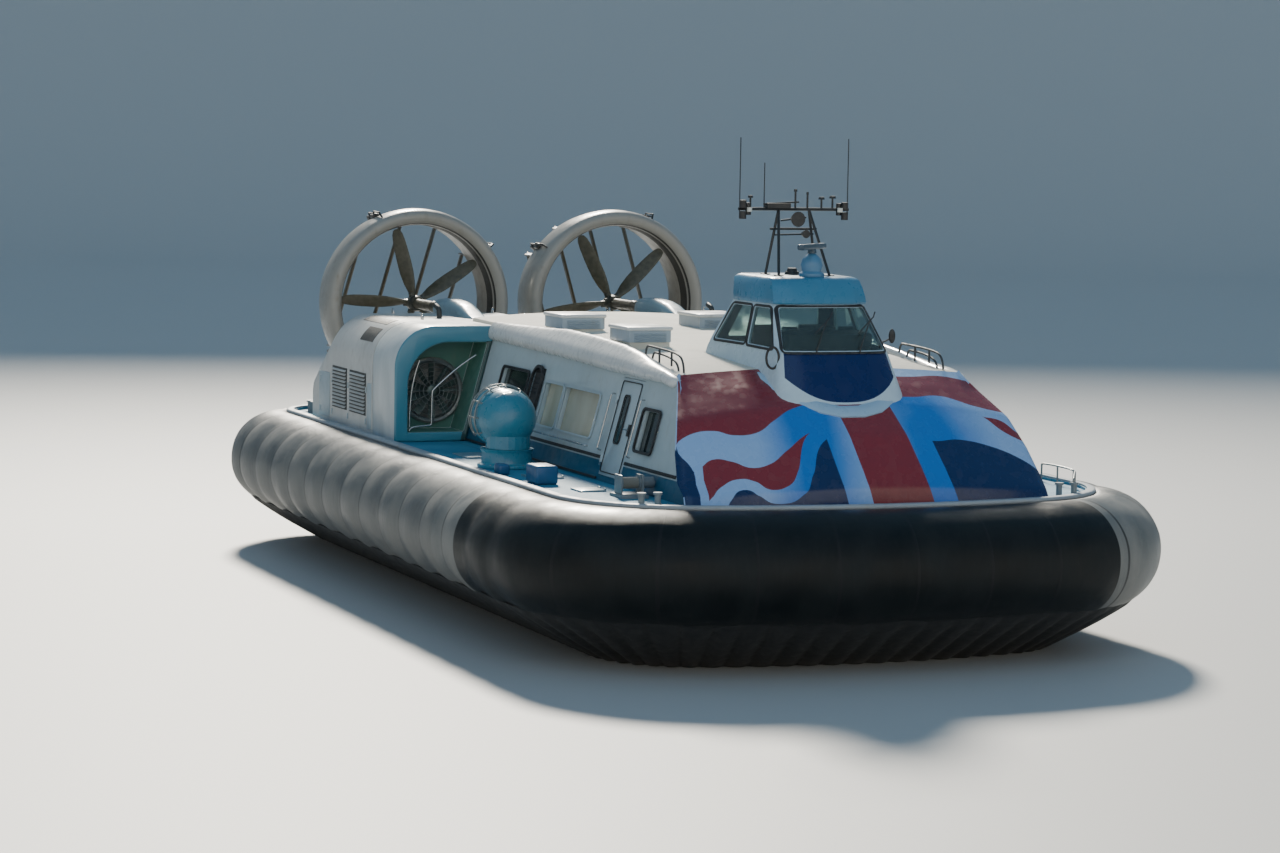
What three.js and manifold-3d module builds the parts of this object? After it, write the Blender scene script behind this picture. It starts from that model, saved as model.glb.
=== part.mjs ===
// Medium passenger hovercraft, floating on its inflated skirt.
// Millimetres. Bow towards +X, port towards +Y, up +Z, origin on the ground below the middle.
import * as THREE from 'three';
import { mergeVertices } from 'three/addons/utils/BufferGeometryUtils.js';
import Module from 'manifold-3d';

const wasm = await Module();
wasm.setup();

// Driving sizes of the craft
const BOW_X = 10750;
const STERN_X = -10750;
const HALF_BEAM = 5150;
const RIM_Z = 2850;
const DECK_Z = 2800;
const HULL_BOTTOM_Z = 1300;
const GAP = 0.4;
const SEAT_Z = DECK_Z + GAP;

// Plan of the deck edge: a shallow bow arc, two bow corners and two stern corners
const BOW_RADIUS = 14000;
const BOW_CORNER = 2500;
const STERN_CORNER = 1500;
const BOW_SPLIT_X = 6800;
const STERN_SPLIT_X = -8900;

// Cabin
const CABIN_AFT_X = -4000;
const CABIN_FOOT_Y = 3330;
const CABIN_LEAN = 0.27;
const WALL = 80;
const ROOF_THICK = 100;
const ROOF_CROWN = 120;
const SLOPE_TOP_X = 7710;
const SLOPE_TOP_Z = 4900;

// Air propellers and their ducts
const DUCT_Y = 2340;
const DUCT_Z = 5230;
const DUCT_FRONT_X = -8700;
const DUCT_REAR_X = -10200;
const DUCT_OUTER_R = 2100;
const DUCT_INNER_R = 1750;
const PROP_X = -9200;
const PROP_R = 1700;
const RUDDER_X = -10550;
const RUDDER_CANT = THREE.MathUtils.degToRad(16);

const craft = new THREE.Group();
const deg = THREE.MathUtils.degToRad;
const vec = (x, y, z) => new THREE.Vector3(x, y, z);

// Finishes
const finish = (color, roughness, metalness = 0) => ({ color, roughness, metalness });
const FINISHES = {
  hull: finish(0x2f3a48, 0.5),
  skirt: finish(0x191b1e, 0.75),
  cream: finish(0xe6e2d8, 0.45),
  flagBlue: finish(0x20305c, 0.45),
  panelBlue: finish(0x1b2f66, 0.4),
  greyBlue: finish(0x7f8f9c, 0.5),
  glass: finish(0x1d2a33, 0.1),
  amber: finish(0xb9ad84, 0.25),
  duct: finish(0xbdbab2, 0.45),
  blade: finish(0x2b2e27, 0.45),
  rudder: finish(0x6f6d62, 0.5),
  black: finish(0x17181a, 0.5),
  seat: finish(0x33435c, 0.85),
  metal: finish(0x8d9296, 0.4, 0.7),
};

// Shape tools

function toSolid(geometry) {
  const bare = geometry.clone();
  bare.deleteAttribute('normal');
  bare.deleteAttribute('uv');
  const merged = mergeVertices(bare, 1e-3);
  const triVerts = Uint32Array.from(merged.index.array);
  const vertProperties = Float32Array.from(merged.attributes.position.array);
  return new wasm.Manifold(new wasm.Mesh({ numProp: 3, vertProperties, triVerts }));
}

function toGeometry(solid) {
  const mesh = solid.getMesh();
  const positions = new Float32Array((mesh.vertProperties.length / mesh.numProp) * 3);
  for (let i = 0; i < positions.length / 3; i += 1) {
    positions[3 * i] = mesh.vertProperties[mesh.numProp * i];
    positions[3 * i + 1] = mesh.vertProperties[mesh.numProp * i + 1];
    positions[3 * i + 2] = mesh.vertProperties[mesh.numProp * i + 2];
  }
  const geometry = new THREE.BufferGeometry();
  geometry.setAttribute('position', new THREE.BufferAttribute(positions, 3));
  geometry.setIndex(Array.from(mesh.triVerts));
  return geometry;
}

const join = (...shapes) => toGeometry(shapes.map(toSolid).reduce((a, b) => a.add(b)));
const cut = (shape, ...tools) => toGeometry(
  tools.map(toSolid).reduce((a, b) => a.subtract(b), toSolid(shape)));
const common = (a, b) => toGeometry(toSolid(a).intersect(toSolid(b)));

// Turns a list of triangles outward if they enclose a negative volume.
function faceOut(geometry) {
  const p = geometry.attributes.position;
  const index = geometry.index.array;
  let volume = 0;
  const a = vec(0, 0, 0);
  const b = vec(0, 0, 0);
  const c = vec(0, 0, 0);
  for (let i = 0; i < index.length; i += 3) {
    a.fromBufferAttribute(p, index[i]);
    b.fromBufferAttribute(p, index[i + 1]);
    c.fromBufferAttribute(p, index[i + 2]);
    volume += a.dot(b.cross(c));
  }
  if (volume < 0) {
    for (let i = 0; i < index.length; i += 3) {
      [index[i + 1], index[i + 2]] = [index[i + 2], index[i + 1]];
    }
  }
  return geometry;
}

function fromTriangles(points, triangles) {
  const numbers = points.flatMap((p) => [p.x, p.y, p.z]);
  const geometry = new THREE.BufferGeometry();
  geometry.setAttribute('position', new THREE.Float32BufferAttribute(numbers, 3));
  geometry.setIndex(triangles);
  return faceOut(geometry);
}

// Skin through equal rings of points, its two end rings closed with flat caps.
function loft(rings, capOutline = null) {
  const count = rings[0].length;
  const points = rings.flat();
  const triangles = [];
  for (let r = 0; r + 1 < rings.length; r += 1) {
    for (let i = 0; i < count; i += 1) {
      const j = (i + 1) % count;
      const low = r * count;
      const high = low + count;
      triangles.push(low + i, low + j, high + j, low + i, high + j, high + i);
    }
  }
  const outline = capOutline ?? rings[0].map((p) => new THREE.Vector2(p.x, p.y));
  const last = (rings.length - 1) * count;
  const flip = THREE.ShapeUtils.isClockWise(outline);
  for (const [a, b, c] of THREE.ShapeUtils.triangulateShape(outline, [])) {
    if (flip) {
      triangles.push(a, b, c, last + a, last + c, last + b);
    } else {
      triangles.push(a, c, b, last + a, last + b, last + c);
    }
  }
  return fromTriangles(points, triangles);
}

// Closed slab between two equal grids of points, an outer and an inner one.
function slab(outer, inner) {
  const rows = outer.length;
  const columns = outer[0].length;
  const points = [...outer.flat(), ...inner.flat()];
  const half = rows * columns;
  const at = (r, c) => r * columns + c;
  const triangles = [];
  for (let r = 0; r + 1 < rows; r += 1) {
    for (let c = 0; c + 1 < columns; c += 1) {
      triangles.push(at(r, c), at(r, c + 1), at(r + 1, c + 1), at(r, c), at(r + 1, c + 1), at(r + 1, c));
      triangles.push(half + at(r, c), half + at(r + 1, c + 1), half + at(r, c + 1));
      triangles.push(half + at(r, c), half + at(r + 1, c), half + at(r + 1, c + 1));
    }
  }
  const border = [];
  for (let c = 0; c < columns - 1; c += 1) border.push(at(0, c));
  for (let r = 0; r < rows - 1; r += 1) border.push(at(r, columns - 1));
  for (let c = columns - 1; c > 0; c -= 1) border.push(at(rows - 1, c));
  for (let r = rows - 1; r > 0; r -= 1) border.push(at(r, 0));
  border.forEach((a, i) => {
    const b = border[(i + 1) % border.length];
    triangles.push(a, half + b, b, a, half + a, half + b);
  });
  return fromTriangles(points, triangles);
}

// Turned shape from a profile of (radius, height) pairs, about +Z.
function turned(profile, sides) {
  const lathe = new THREE.LatheGeometry(profile.map(([r, z]) => new THREE.Vector2(r, z)), sides);
  lathe.deleteAttribute('normal');
  lathe.deleteAttribute('uv');
  return faceOut(mergeVertices(lathe.rotateX(Math.PI / 2)));
}

const block = (x0, x1, y0, y1, z0, z1) => new THREE.BoxGeometry(x1 - x0, y1 - y0, z1 - z0)
  .translate((x0 + x1) / 2, (y0 + y1) / 2, (z0 + z1) / 2);

// Round bar of a radius between two points.
function bar(from, to, radius, sides = 8) {
  const along = to.clone().sub(from);
  const geometry = new THREE.CylinderGeometry(radius, radius, along.length(), sides);
  const turn = new THREE.Quaternion().setFromUnitVectors(vec(0, 1, 0), along.clone().normalize());
  geometry.applyQuaternion(turn);
  const middle = from.clone().add(to).multiplyScalar(0.5);
  return geometry.translate(middle.x, middle.y, middle.z);
}

// Hole that a round shaft of the same number of sides turns in, its flats facing the shaft's corners.
const RUNNING_GAP = 0.35;
function bore(from, to, shaftRadius, sides) {
  const along = to.clone().sub(from);
  const radius = (shaftRadius + RUNNING_GAP) / Math.cos(Math.PI / sides);
  const geometry = new THREE.CylinderGeometry(radius, radius, along.length(), sides, 1, false, Math.PI / sides);
  geometry.applyQuaternion(new THREE.Quaternion().setFromUnitVectors(vec(0, 1, 0), along.clone().normalize()));
  const middle = from.clone().add(to).multiplyScalar(0.5);
  return geometry.translate(middle.x, middle.y, middle.z);
}

// Prism of a (y, z) outline from x0 to x1, and of an (x, z) outline from y0 to y1.
function prismX(outline, x0, x1) {
  const ring = (x) => outline.map(([y, z]) => vec(x, y, z));
  return loft([ring(x0), ring(x1)], outline.map(([y, z]) => new THREE.Vector2(y, z)));
}

function prismY(outline, y0, y1) {
  const ring = (y) => outline.map(([x, z]) => vec(x, y, z));
  return loft([ring(y0), ring(y1)], outline.map(([x, z]) => new THREE.Vector2(x, z)));
}

// Points of a quarter or other arc, as pairs.
function arc(cx, cy, radius, from, to, steps) {
  return Array.from({ length: steps + 1 }, (_, i) => {
    const angle = deg(from + ((to - from) * i) / steps);
    return [cx + radius * Math.cos(angle), cy + radius * Math.sin(angle)];
  });
}

// Puts a shape on port (+1) as drawn, or mirrored to starboard (-1).
function toSide(geometry, side) {
  if (side > 0) return geometry;
  const copy = geometry.clone();
  copy.scale(1, -1, 1);
  const indexed = copy.index ? copy : mergeVertices(copy);
  return faceOut(indexed);
}

function add(name, geometry, look, at = [0, 0, 0]) {
  const shape = geometry.index ? geometry : mergeVertices(geometry);
  const mesh = new THREE.Mesh(shape, new THREE.MeshStandardMaterial(FINISHES[look]));
  mesh.name = name;
  mesh.position.set(...at);
  craft.add(mesh);
  return mesh;
}

const SIDES = [['port', 1], ['starboard', -1]];

// Deck edge stations: a point on the edge and its outward direction in plan

const bowCentreX = BOW_X - BOW_RADIUS;
const cornerY = HALF_BEAM - BOW_CORNER;
const cornerX = bowCentreX + Math.sqrt((BOW_RADIUS - BOW_CORNER) ** 2 - cornerY ** 2);
const meetAngle = THREE.MathUtils.radToDeg(Math.atan2(cornerY, cornerX - bowCentreX));
const sternCornerX = STERN_X + STERN_CORNER;
const sternCornerY = HALF_BEAM - STERN_CORNER;

function edgeArc(cx, cy, radius, from, to, steps) {
  return Array.from({ length: steps + 1 }, (_, i) => {
    const angle = deg(from + ((to - from) * i) / steps);
    const [nx, ny] = [Math.cos(angle), Math.sin(angle)];
    return { x: cx + radius * nx, y: cy + radius * ny, nx, ny };
  });
}

const sideStation = (x, side) => ({ x, y: side * HALF_BEAM, nx: 0, ny: side });
const BOW_STATIONS = [
  sideStation(BOW_SPLIT_X, -1),
  ...edgeArc(cornerX, -cornerY, BOW_CORNER, -90, -meetAngle, 7),
  ...edgeArc(bowCentreX, 0, BOW_RADIUS, -meetAngle, meetAngle, 8).slice(1, -1),
  ...edgeArc(cornerX, cornerY, BOW_CORNER, meetAngle, 90, 7),
  sideStation(BOW_SPLIT_X, 1),
];
const STERN_STATIONS = [
  sideStation(STERN_SPLIT_X, 1),
  ...edgeArc(sternCornerX, sternCornerY, STERN_CORNER, 90, 180, 5),
  ...edgeArc(sternCornerX, -sternCornerY, STERN_CORNER, 180, 270, 5),
  sideStation(STERN_SPLIT_X, -1),
];
const sideStations = (side) => [
  sideStation(STERN_SPLIT_X + GAP, side),
  sideStation(BOW_SPLIT_X - GAP, side),
];
const offsetPoint = (s, out, z) => vec(s.x + s.nx * out, s.y + s.ny * out, z);

// Hull: one decked buoyancy body with a raised rim
const CHINE_OUT = -950;
const CHINE_Z = 2500;
const RIM_WIDTH = 150;
const HULL_LEVELS = [
  // out of the deck edge, height
  [CHINE_OUT, HULL_BOTTOM_Z],
  [0, CHINE_Z],
  [0, RIM_Z],
  [-RIM_WIDTH, RIM_Z],
  [-RIM_WIDTH, DECK_Z],
];
const wholeEdge = [...BOW_STATIONS.slice(1, -1), ...STERN_STATIONS.slice(1, -1)];
add('hull', loft(HULL_LEVELS.map(([out, z]) => wholeEdge.map((s) => offsetPoint(s, out, z)))), 'hull');

// Landing skids below the hull, which the craft sits on when the air is off
const SKID = { y: 2600, halfWidth: 150, aft: -7600, fore: 7600, bottom: 950, toe: 350 };
for (const [side, sign] of SIDES) {
  const top = HULL_BOTTOM_Z - GAP;
  const sole = [[SKID.aft + SKID.toe, SKID.bottom], [SKID.fore - SKID.toe, SKID.bottom]];
  const profile = [[SKID.aft, top], ...sole, [SKID.fore, top]];
  const skid = prismY(profile, SKID.y - SKID.halfWidth, SKID.y + SKID.halfWidth);
  add(`landing_skid_${side}`, toSide(skid, sign), 'hull');
}

// Skirt: an inflated bag round the deck edge, and a row of open fingers hanging below it
const BAG_R = 1030;
const BAG_CENTRE = [220, 1800];
const BAG_SECTION = [
  ...arc(...BAG_CENTRE, BAG_R, -100, 100, 14),
  [0.5, RIM_Z - 62],
  [0.5, CHINE_Z],
  [CHINE_OUT + 0.5, HULL_BOTTOM_Z],
];
// The fingers' section is full at the middle of each finger and drawn in at the fold beside it
const fingerSection = (fold) => [
  ...arc(...BAG_CENTRE, BAG_R + 0.5, -57, -100, 3),
  [-500, 1065],
  [-1200, 0],
  [-740 - fold, 0],
  [60 - 0.5 * fold, 430 + 0.6 * fold],
];
const FINGER_FULL = fingerSection(0);
const FINGER_FOLD = fingerSection(130);
const HALF_FINGER = 380;

// Stations no further apart than half a finger, on the straight lines between the given ones.
function fingerStations(stations) {
  return stations.slice(1).reduce((list, next, i) => {
    const last = stations[i];
    const steps = Math.max(1, Math.round(Math.hypot(next.x - last.x, next.y - last.y) / HALF_FINGER));
    for (let k = 1; k <= steps; k += 1) {
      const between = (key) => last[key] + (next[key] - last[key]) * (k / steps);
      list.push({ x: between('x'), y: between('y'), nx: between('nx'), ny: between('ny') });
    }
    return list;
  }, [stations[0]]);
}

// Skirt piece through stations, each ring drawn from the section that its number asks for.
function skirtPiece(stations, sections) {
  const rings = stations.map((s, i) => sections[i % sections.length].map(([out, z]) => offsetPoint(s, out, z)));
  return loft(rings, sections[0].map(([out, z]) => new THREE.Vector2(out, z)));
}

const SKIRT_RUNS = [
  ['bow', BOW_STATIONS],
  ['port', sideStations(1)],
  ['stern', STERN_STATIONS],
  ['starboard', sideStations(-1)],
];
for (const [run, stations] of SKIRT_RUNS) {
  add(`skirt_bag_${run}`, skirtPiece(stations, [BAG_SECTION]), 'skirt');
  add(`skirt_fingers_${run}`, skirtPiece(fingerStations(stations), [FINGER_FULL, FINGER_FOLD]), 'skirt');
}

// Cabin roof: edge heights along the craft, crowned across it
const ROOF_EDGE = [
  // x, height of the roof edge
  [CABIN_AFT_X, 5220],
  [-1500, 5200],
  [1500, 5160],
  [4700, 5090],
  [6200, 5000],
  [SLOPE_TOP_X, SLOPE_TOP_Z],
];
const cabinY = (z) => CABIN_FOOT_Y - CABIN_LEAN * (z - DECK_Z);
const ROOF_ACROSS = [-1, -0.6, -0.25, 0.25, 0.6, 1];
const crown = (u) => ROOF_CROWN * (1 - Math.min(1, u * u));

// Roof slab moved up by `lift` and `thick` deep, on places across it from -1 to 1 at the cabin sides.
function roofSlab(lift, thick, across) {
  const row = (x, edge, drop) => across.map((u) => {
    const z = edge + crown(u) + lift - drop;
    return vec(x, u * cabinY(edge + lift - drop), z);
  });
  return slab(ROOF_EDGE.map(([x, edge]) => row(x, edge, 0)), ROOF_EDGE.map(([x, edge]) => row(x, edge, thick)));
}

// Front slope: from the roof edge down to the fore deck, bulging forward in plan and profile
const SLOPE_ROWS = [
  // centre x, centre z, edge x, edge z, how far the edge stands out from the cabin side
  [SLOPE_TOP_X + GAP, SLOPE_TOP_Z + ROOF_CROWN, SLOPE_TOP_X + GAP, SLOPE_TOP_Z, 0],
  [8330, 4790, 8250, 4560, 110],
  [8940, 4460, 8900, 4170, 260],
  [9500, 3960, 9330, 3650, 300],
  [9900, 3420, 9680, 3200, 270],
  [10060, 3080, 9920, 3000, 200],
  [10080, SEAT_Z, 10030, SEAT_Z, 160],
];
const SLOPE_ACROSS = [-1, -0.82, -0.6, -0.35, -0.12, 0.12, 0.35, 0.6, 0.82, 1];

// Slope shell of a thickness; as a cutter it also reaches `ahead` in front of and above its outer face.
function slopeSlab(thick, across, ahead = 0) {
  const face = SLOPE_ROWS.map(([cx, cz, ex, ez, wide]) => across.map((u) => {
    const k = Math.min(1, u * u);
    const z = cz + (ez - cz) * k;
    return vec(cx + (ex - cx) * k, u * (cabinY(z) + wide), z);
  }));
  const last = SLOPE_ROWS.length - 1;
  const outer = face.map((row, r) => row.map((p) => (
    vec(p.x + (r === 0 ? 0 : ahead), p.y, p.z + (r === last ? 0 : ahead)))));
  const inner = face.map((row, r) => row.map((p) => {
    const down = r === 0 ? 1 : r >= last - 1 ? 0 : 0.7;
    const back = r === 0 ? 0 : r >= last - 1 ? 1 : 0.7;
    return vec(p.x - thick * back, p.y * (1 - thick / 9000), p.z - thick * down);
  }));
  return slab(outer, inner);
}

// Wheelhouse levels: height, front x, back x, half width at the front and at the back
const HOUSE_LEVELS = [
  [4400, 8970, 5050, 1260, 1400],
  [5350, 8460, 5400, 1090, 1270],
  [6150, 7760, 5900, 900, 1000],
];
const HOUSE_TOP_Z = 6150;
const HOUSE_WALL = 70;
const NOSE = [
  // back from the front, share of the half width
  [0, 0.45],
  [60, 0.75],
  [160, 0.93],
  [360, 1],
];

// Solid of the wheelhouse shape pulled in by `inset`, between two heights.
function houseShape(inset, z0, z1) {
  const level = (z) => {
    const upper = z <= HOUSE_LEVELS[1][0] ? 1 : 2;
    const [a, b] = [HOUSE_LEVELS[upper - 1], HOUSE_LEVELS[upper]];
    const t = (z - a[0]) / (b[0] - a[0]);
    const [front, back, halfFront, halfBack] = a.slice(1).map((value, i) => value + (b[i + 1] - value) * t);
    const side = NOSE.map(([behind, share]) => [front - behind - inset, share * (halfFront - inset)]);
    side.push([back + inset, halfBack - inset]);
    return [...side, ...side.map(([x, y]) => [x, -y]).reverse()].map(([x, y]) => vec(x, y, z));
  };
  const heights = [z0, ...(z0 < HOUSE_LEVELS[1][0] && z1 > HOUSE_LEVELS[1][0] ? [HOUSE_LEVELS[1][0]] : []), z1];
  return loft(heights.map(level));
}
const houseHole = houseShape(-0.8, HOUSE_LEVELS[0][0] - GAP, HOUSE_TOP_Z);

// Roof with its three rooftop units
const ROOF_UNITS = [
  // x, y, length, width, height
  [300, -2000, 1000, 850, 260],
  [3900, -2000, 1000, 800, 240],
  [300, 900, 1100, 900, 260],
];
const roofUnits = ROOF_UNITS.map(([x, y, length, width, height]) => block(
  x - length / 2, x + length / 2, y - width / 2, y + width / 2, 5130, 5260 + height));
add('cabin_roof', join(cut(roofSlab(0, ROOF_THICK, ROOF_ACROSS), houseHole), ...roofUnits), 'cream');
add('cabin_front_slope', cut(slopeSlab(WALL, SLOPE_ACROSS), houseHole), 'flagBlue');

// Cabin sides, drawn flat in (x, up the wall) and laid on the lean of the cabin
const leanAngle = Math.atan(CABIN_LEAN);
const wallFrame = new THREE.Matrix4().makeRotationX(leanAngle).setPosition(0, CABIN_FOOT_Y, DECK_Z);
const SIDE_OUTLINE = [
  // x, distance up the wall
  [CABIN_AFT_X, -60], [10060, -60], [10060, 1200], [8400, 2250], [7590, 2300], [CABIN_AFT_X, 2560],
];
const SIDE_WINDOWS = [
  // aft x, fore x, bottom and top up the wall
  [-1250, 300, 900, 1640],
  [1350, 2400, 720, 1540],
  [2500, 4400, 720, 1540],
  [6700, 7500, 720, 1450],
];
const DOOR = { aft: 5250, fore: 6350, bottom: 110, top: 1960, gap: 8, thick: 70 };
const HINGES_UP = [420, 1600];
const HINGE_R = 22;
const HINGE_OUT = 26;
const onWall = (geometry) => geometry.applyMatrix4(wallFrame);
const below = block(-13000, 13000, -8000, 8000, 0, SEAT_Z);
const roofCutter = roofSlab(400, ROOF_THICK + 400 + GAP, [-1.2, ...ROOF_ACROSS, 1.2]);

const slopeCutter = slopeSlab(WALL + 1, [-1.1, ...SLOPE_ACROSS, 1.1], 1500);
const slopeCutters = [slopeCutter, slopeCutter.clone().translate(-GAP, 0, 0)];

for (const [side, sign] of SIDES) {
  const openings = [...SIDE_WINDOWS, [DOOR.aft, DOOR.fore, DOOR.bottom, DOOR.top]].map(
    ([aft, fore, low, high]) => onWall(block(aft, fore, -200, 100, low, high)));
  const panel = toSide(cut(onWall(prismY(SIDE_OUTLINE, -WALL, 0)), ...openings), sign);
  const wall = cut(panel, below, roofCutter, ...slopeCutters);
  const knuckles = HINGES_UP.flatMap((up) => [
    onWall(bar(vec(DOOR.aft, HINGE_OUT, up - 150), vec(DOOR.aft, HINGE_OUT, up - 80 - GAP), HINGE_R)),
    onWall(block(DOOR.aft - 60, DOOR.aft - 5, -20, HINGE_OUT, up - 150, up - 80 - GAP)),
  ]);
  add(`cabin_side_${side}`, join(wall, ...knuckles.map((knuckle) => toSide(knuckle, sign))), 'cream');

  const leaf = onWall(block(
    DOOR.aft + DOOR.gap, DOOR.fore - DOOR.gap, -DOOR.thick, 0, DOOR.bottom + DOOR.gap, DOOR.top - DOOR.gap));
  const barrels = HINGES_UP.flatMap((up) => [
    onWall(bar(vec(DOOR.aft, HINGE_OUT, up - 80), vec(DOOR.aft, HINGE_OUT, up + 80), HINGE_R)),
    onWall(block(DOOR.aft + 5, DOOR.aft + 70, -20, HINGE_OUT, up - 80, up + 80)),
  ]);
  add(`cabin_door_${side}`, toSide(join(leaf, ...barrels), sign), 'cream');

  const glass = cut(onWall(prismY([
    [-1350, 650], [7650, 650], [7650, 1520], [4500, 1610], [-1350, 1700],
  ], -WALL - 12, -WALL - GAP)), onWall(block(DOOR.aft - 60, DOOR.fore + 60, -300, 100, -100, 2100)));
  const aftGlass = common(glass, block(-1500, DOOR.aft - 50, 0, 6000, 2000, 6000));
  add(`cabin_windows_${side}`, toSide(aftGlass, sign), 'amber');
  const foreGlass = common(glass, block(DOOR.fore + 50, 9000, 0, 6000, 2000, 6000));
  add(`cabin_fore_window_${side}`, toSide(foreGlass, sign), 'glass');
}

// Shoulders: mouldings that lap the roof's edge over the cabin sides and run down beside the slope
const SHOULDER_AFT_X = -2390;
const SHOULDER_SECTION = [
  // out of the wall, up it from the roof's edge
  [1, -365], [100, -335], [145, -200], [115, -60], [-40, 48], [-215, 66], [-215, 10], [1, 10],
];
const SHOULDER_STATIONS = [
  // x, height of the edge, scale out of the wall and along it
  [SHOULDER_AFT_X, 5212, 1, 1],
  [-1500, 5200, 1, 1],
  [1500, 5160, 1, 1],
  [4700, 5090, 1, 1],
  [6200, 5000, 0.95, 0.8],
  [7300, 4930, 0.9, 0.6],
  [7700, 4860, 0.9, 0.6],
];
const OUT_OF_WALL = vec(0, Math.cos(leanAngle), Math.sin(leanAngle));
const shoulderRings = SHOULDER_STATIONS.map(([x, z, outScale, upScale]) => SHOULDER_SECTION.map(([out, up]) => {
  const place = vec(x, cabinY(z), z).addScaledVector(OUT_OF_WALL, out > 1 ? out * outScale : out);
  return place.add(vec(0, -Math.sin(leanAngle), Math.cos(leanAngle)).multiplyScalar(up * upScale));
}));
const shoulderEnds = SHOULDER_SECTION.map(([out, up]) => new THREE.Vector2(out, up));
const shoulder = cut(
  loft(shoulderRings, shoulderEnds),
  roofSlab(GAP, ROOF_THICK + 2 * GAP, ROOF_ACROSS),
  roofSlab(-ROOF_THICK + 2 * GAP, 600, ROOF_ACROSS),
);
for (const [side, sign] of SIDES) add(`roof_shoulder_${side}`, toSide(shoulder, sign), 'cream');

// Aft bulkhead between the cabin sides
const innerY = (z) => cabinY(z) - WALL * Math.sqrt(1 + CABIN_LEAN ** 2) - GAP;
const BULKHEAD_TOP = 5600;
const bulkheadHalf = [[innerY(SEAT_Z), SEAT_Z], [innerY(BULKHEAD_TOP), BULKHEAD_TOP]];
const bulkheadOutline = [...bulkheadHalf, ...bulkheadHalf.map(([y, z]) => [-y, z]).reverse()];
add('cabin_aft_bulkhead', cut(prismX(bulkheadOutline, CABIN_AFT_X, CABIN_AFT_X + WALL), roofCutter), 'cream');

// Passenger seats: benches either side of the aisle on one floor
const SEAT_ROWS = { first: -3500, pitch: 860, count: 10, aisle: 330, outer: 2350 };
const FLOOR_TOP = SEAT_Z + 20;
const BENCH = [
  // x, height above the floor
  [0, 0], [120, 0], [120, 330], [560, 380], [560, 470],
  [150, 450], [30, 1080], [-60, 1080], [40, 400], [0, 330],
];
const benches = [];
for (let row = 0; row < SEAT_ROWS.count; row += 1) {
  const outline = BENCH.map(([x, z]) => [SEAT_ROWS.first + row * SEAT_ROWS.pitch + x, FLOOR_TOP - 1 + z]);
  benches.push(prismY(outline, SEAT_ROWS.aisle, SEAT_ROWS.outer));
  benches.push(prismY(outline, -SEAT_ROWS.outer, -SEAT_ROWS.aisle));
}
add('passenger_seats', join(block(-3800, 5100, -2600, 2600, SEAT_Z, FLOOR_TOP), ...benches), 'seat');

// Wheelhouse: walls with a sunk floor pan, a band of glass inside the walls, and a roof
const WINDSCREEN = [[-985, 5360], [985, 5360], [820, 6090], [-820, 6090]];
const REAR_SCREEN = [[-900, 5450], [900, 5450], [760, 6050], [-760, 6050]];
const SIDE_LIGHTS = [
  [[7060, 5420], [8060, 5400], [7500, 6070], [6930, 6070]],
  [[5700, 5430], [6940, 5430], [6810, 6070], [6080, 6070]],
];
const houseBody = cut(
  houseShape(0, 4400, HOUSE_TOP_Z),
  houseShape(HOUSE_WALL, 4470, HOUSE_TOP_Z + 40),
  prismX(WINDSCREEN, 7300, 9000),
  prismX(REAR_SCREEN, 5000, 6500),
  ...SIDE_LIGHTS.map((outline) => prismY(outline, -2000, 2000)),
);
add('wheelhouse_body', houseBody, 'panelBlue');
const glassBand = cut(
  houseShape(HOUSE_WALL + 0.6, 4470, HOUSE_TOP_Z + 40),
  houseShape(HOUSE_WALL + 12, 4470, HOUSE_TOP_Z + 40),
);
add('wheelhouse_glass', common(glassBand, block(4000, 9000, -2000, 2000, 5310, 6120)), 'glass');

const HOUSE_ROOF = [
  // height, front x, back x, half width at the front and at the back
  [HOUSE_TOP_Z + GAP, 7800, 5860, 940, 1040],
  [6260, 7860, 5800, 970, 1070],
  [6570, 7560, 5620, 900, 930],
  [6620, 7480, 5720, 820, 850],
];
const houseRoof = loft(HOUSE_ROOF.map(([z, front, back, halfFront, halfBack]) => {
  const side = [
    [front, 0.6 * halfFront], [front - 160, halfFront], [back + 120, halfBack], [back, 0.7 * halfBack],
  ];
  return [...side, ...side.map(([x, y]) => [x, -y]).reverse()].map(([x, y]) => vec(x, y, z));
}));
add('wheelhouse_roof', houseRoof, 'cream');
const ROOF_TOP_Z = 6620;

// Helm: console and two crew seats on one floor mat
const PAN_Z = 4470 + GAP;
const helm = [block(5700, 8100, -850, 850, PAN_Z, PAN_Z + 20), prismY([
  [7350, PAN_Z + 10], [8050, PAN_Z + 10], [7950, 5250], [7700, 5330], [7350, 5150],
], -820, 820)];
for (const y of [-450, 450]) {
  helm.push(block(6480, 6620, y - 70, y + 70, PAN_Z + 10, 4900));
  helm.push(prismY([
    [6280, 4880], [6800, 4880], [6800, 5000], [6400, 4990], [6320, 5700], [6210, 5700],
  ], y - 260, y + 260));
}
add('helm', join(...helm), 'seat');

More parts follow.
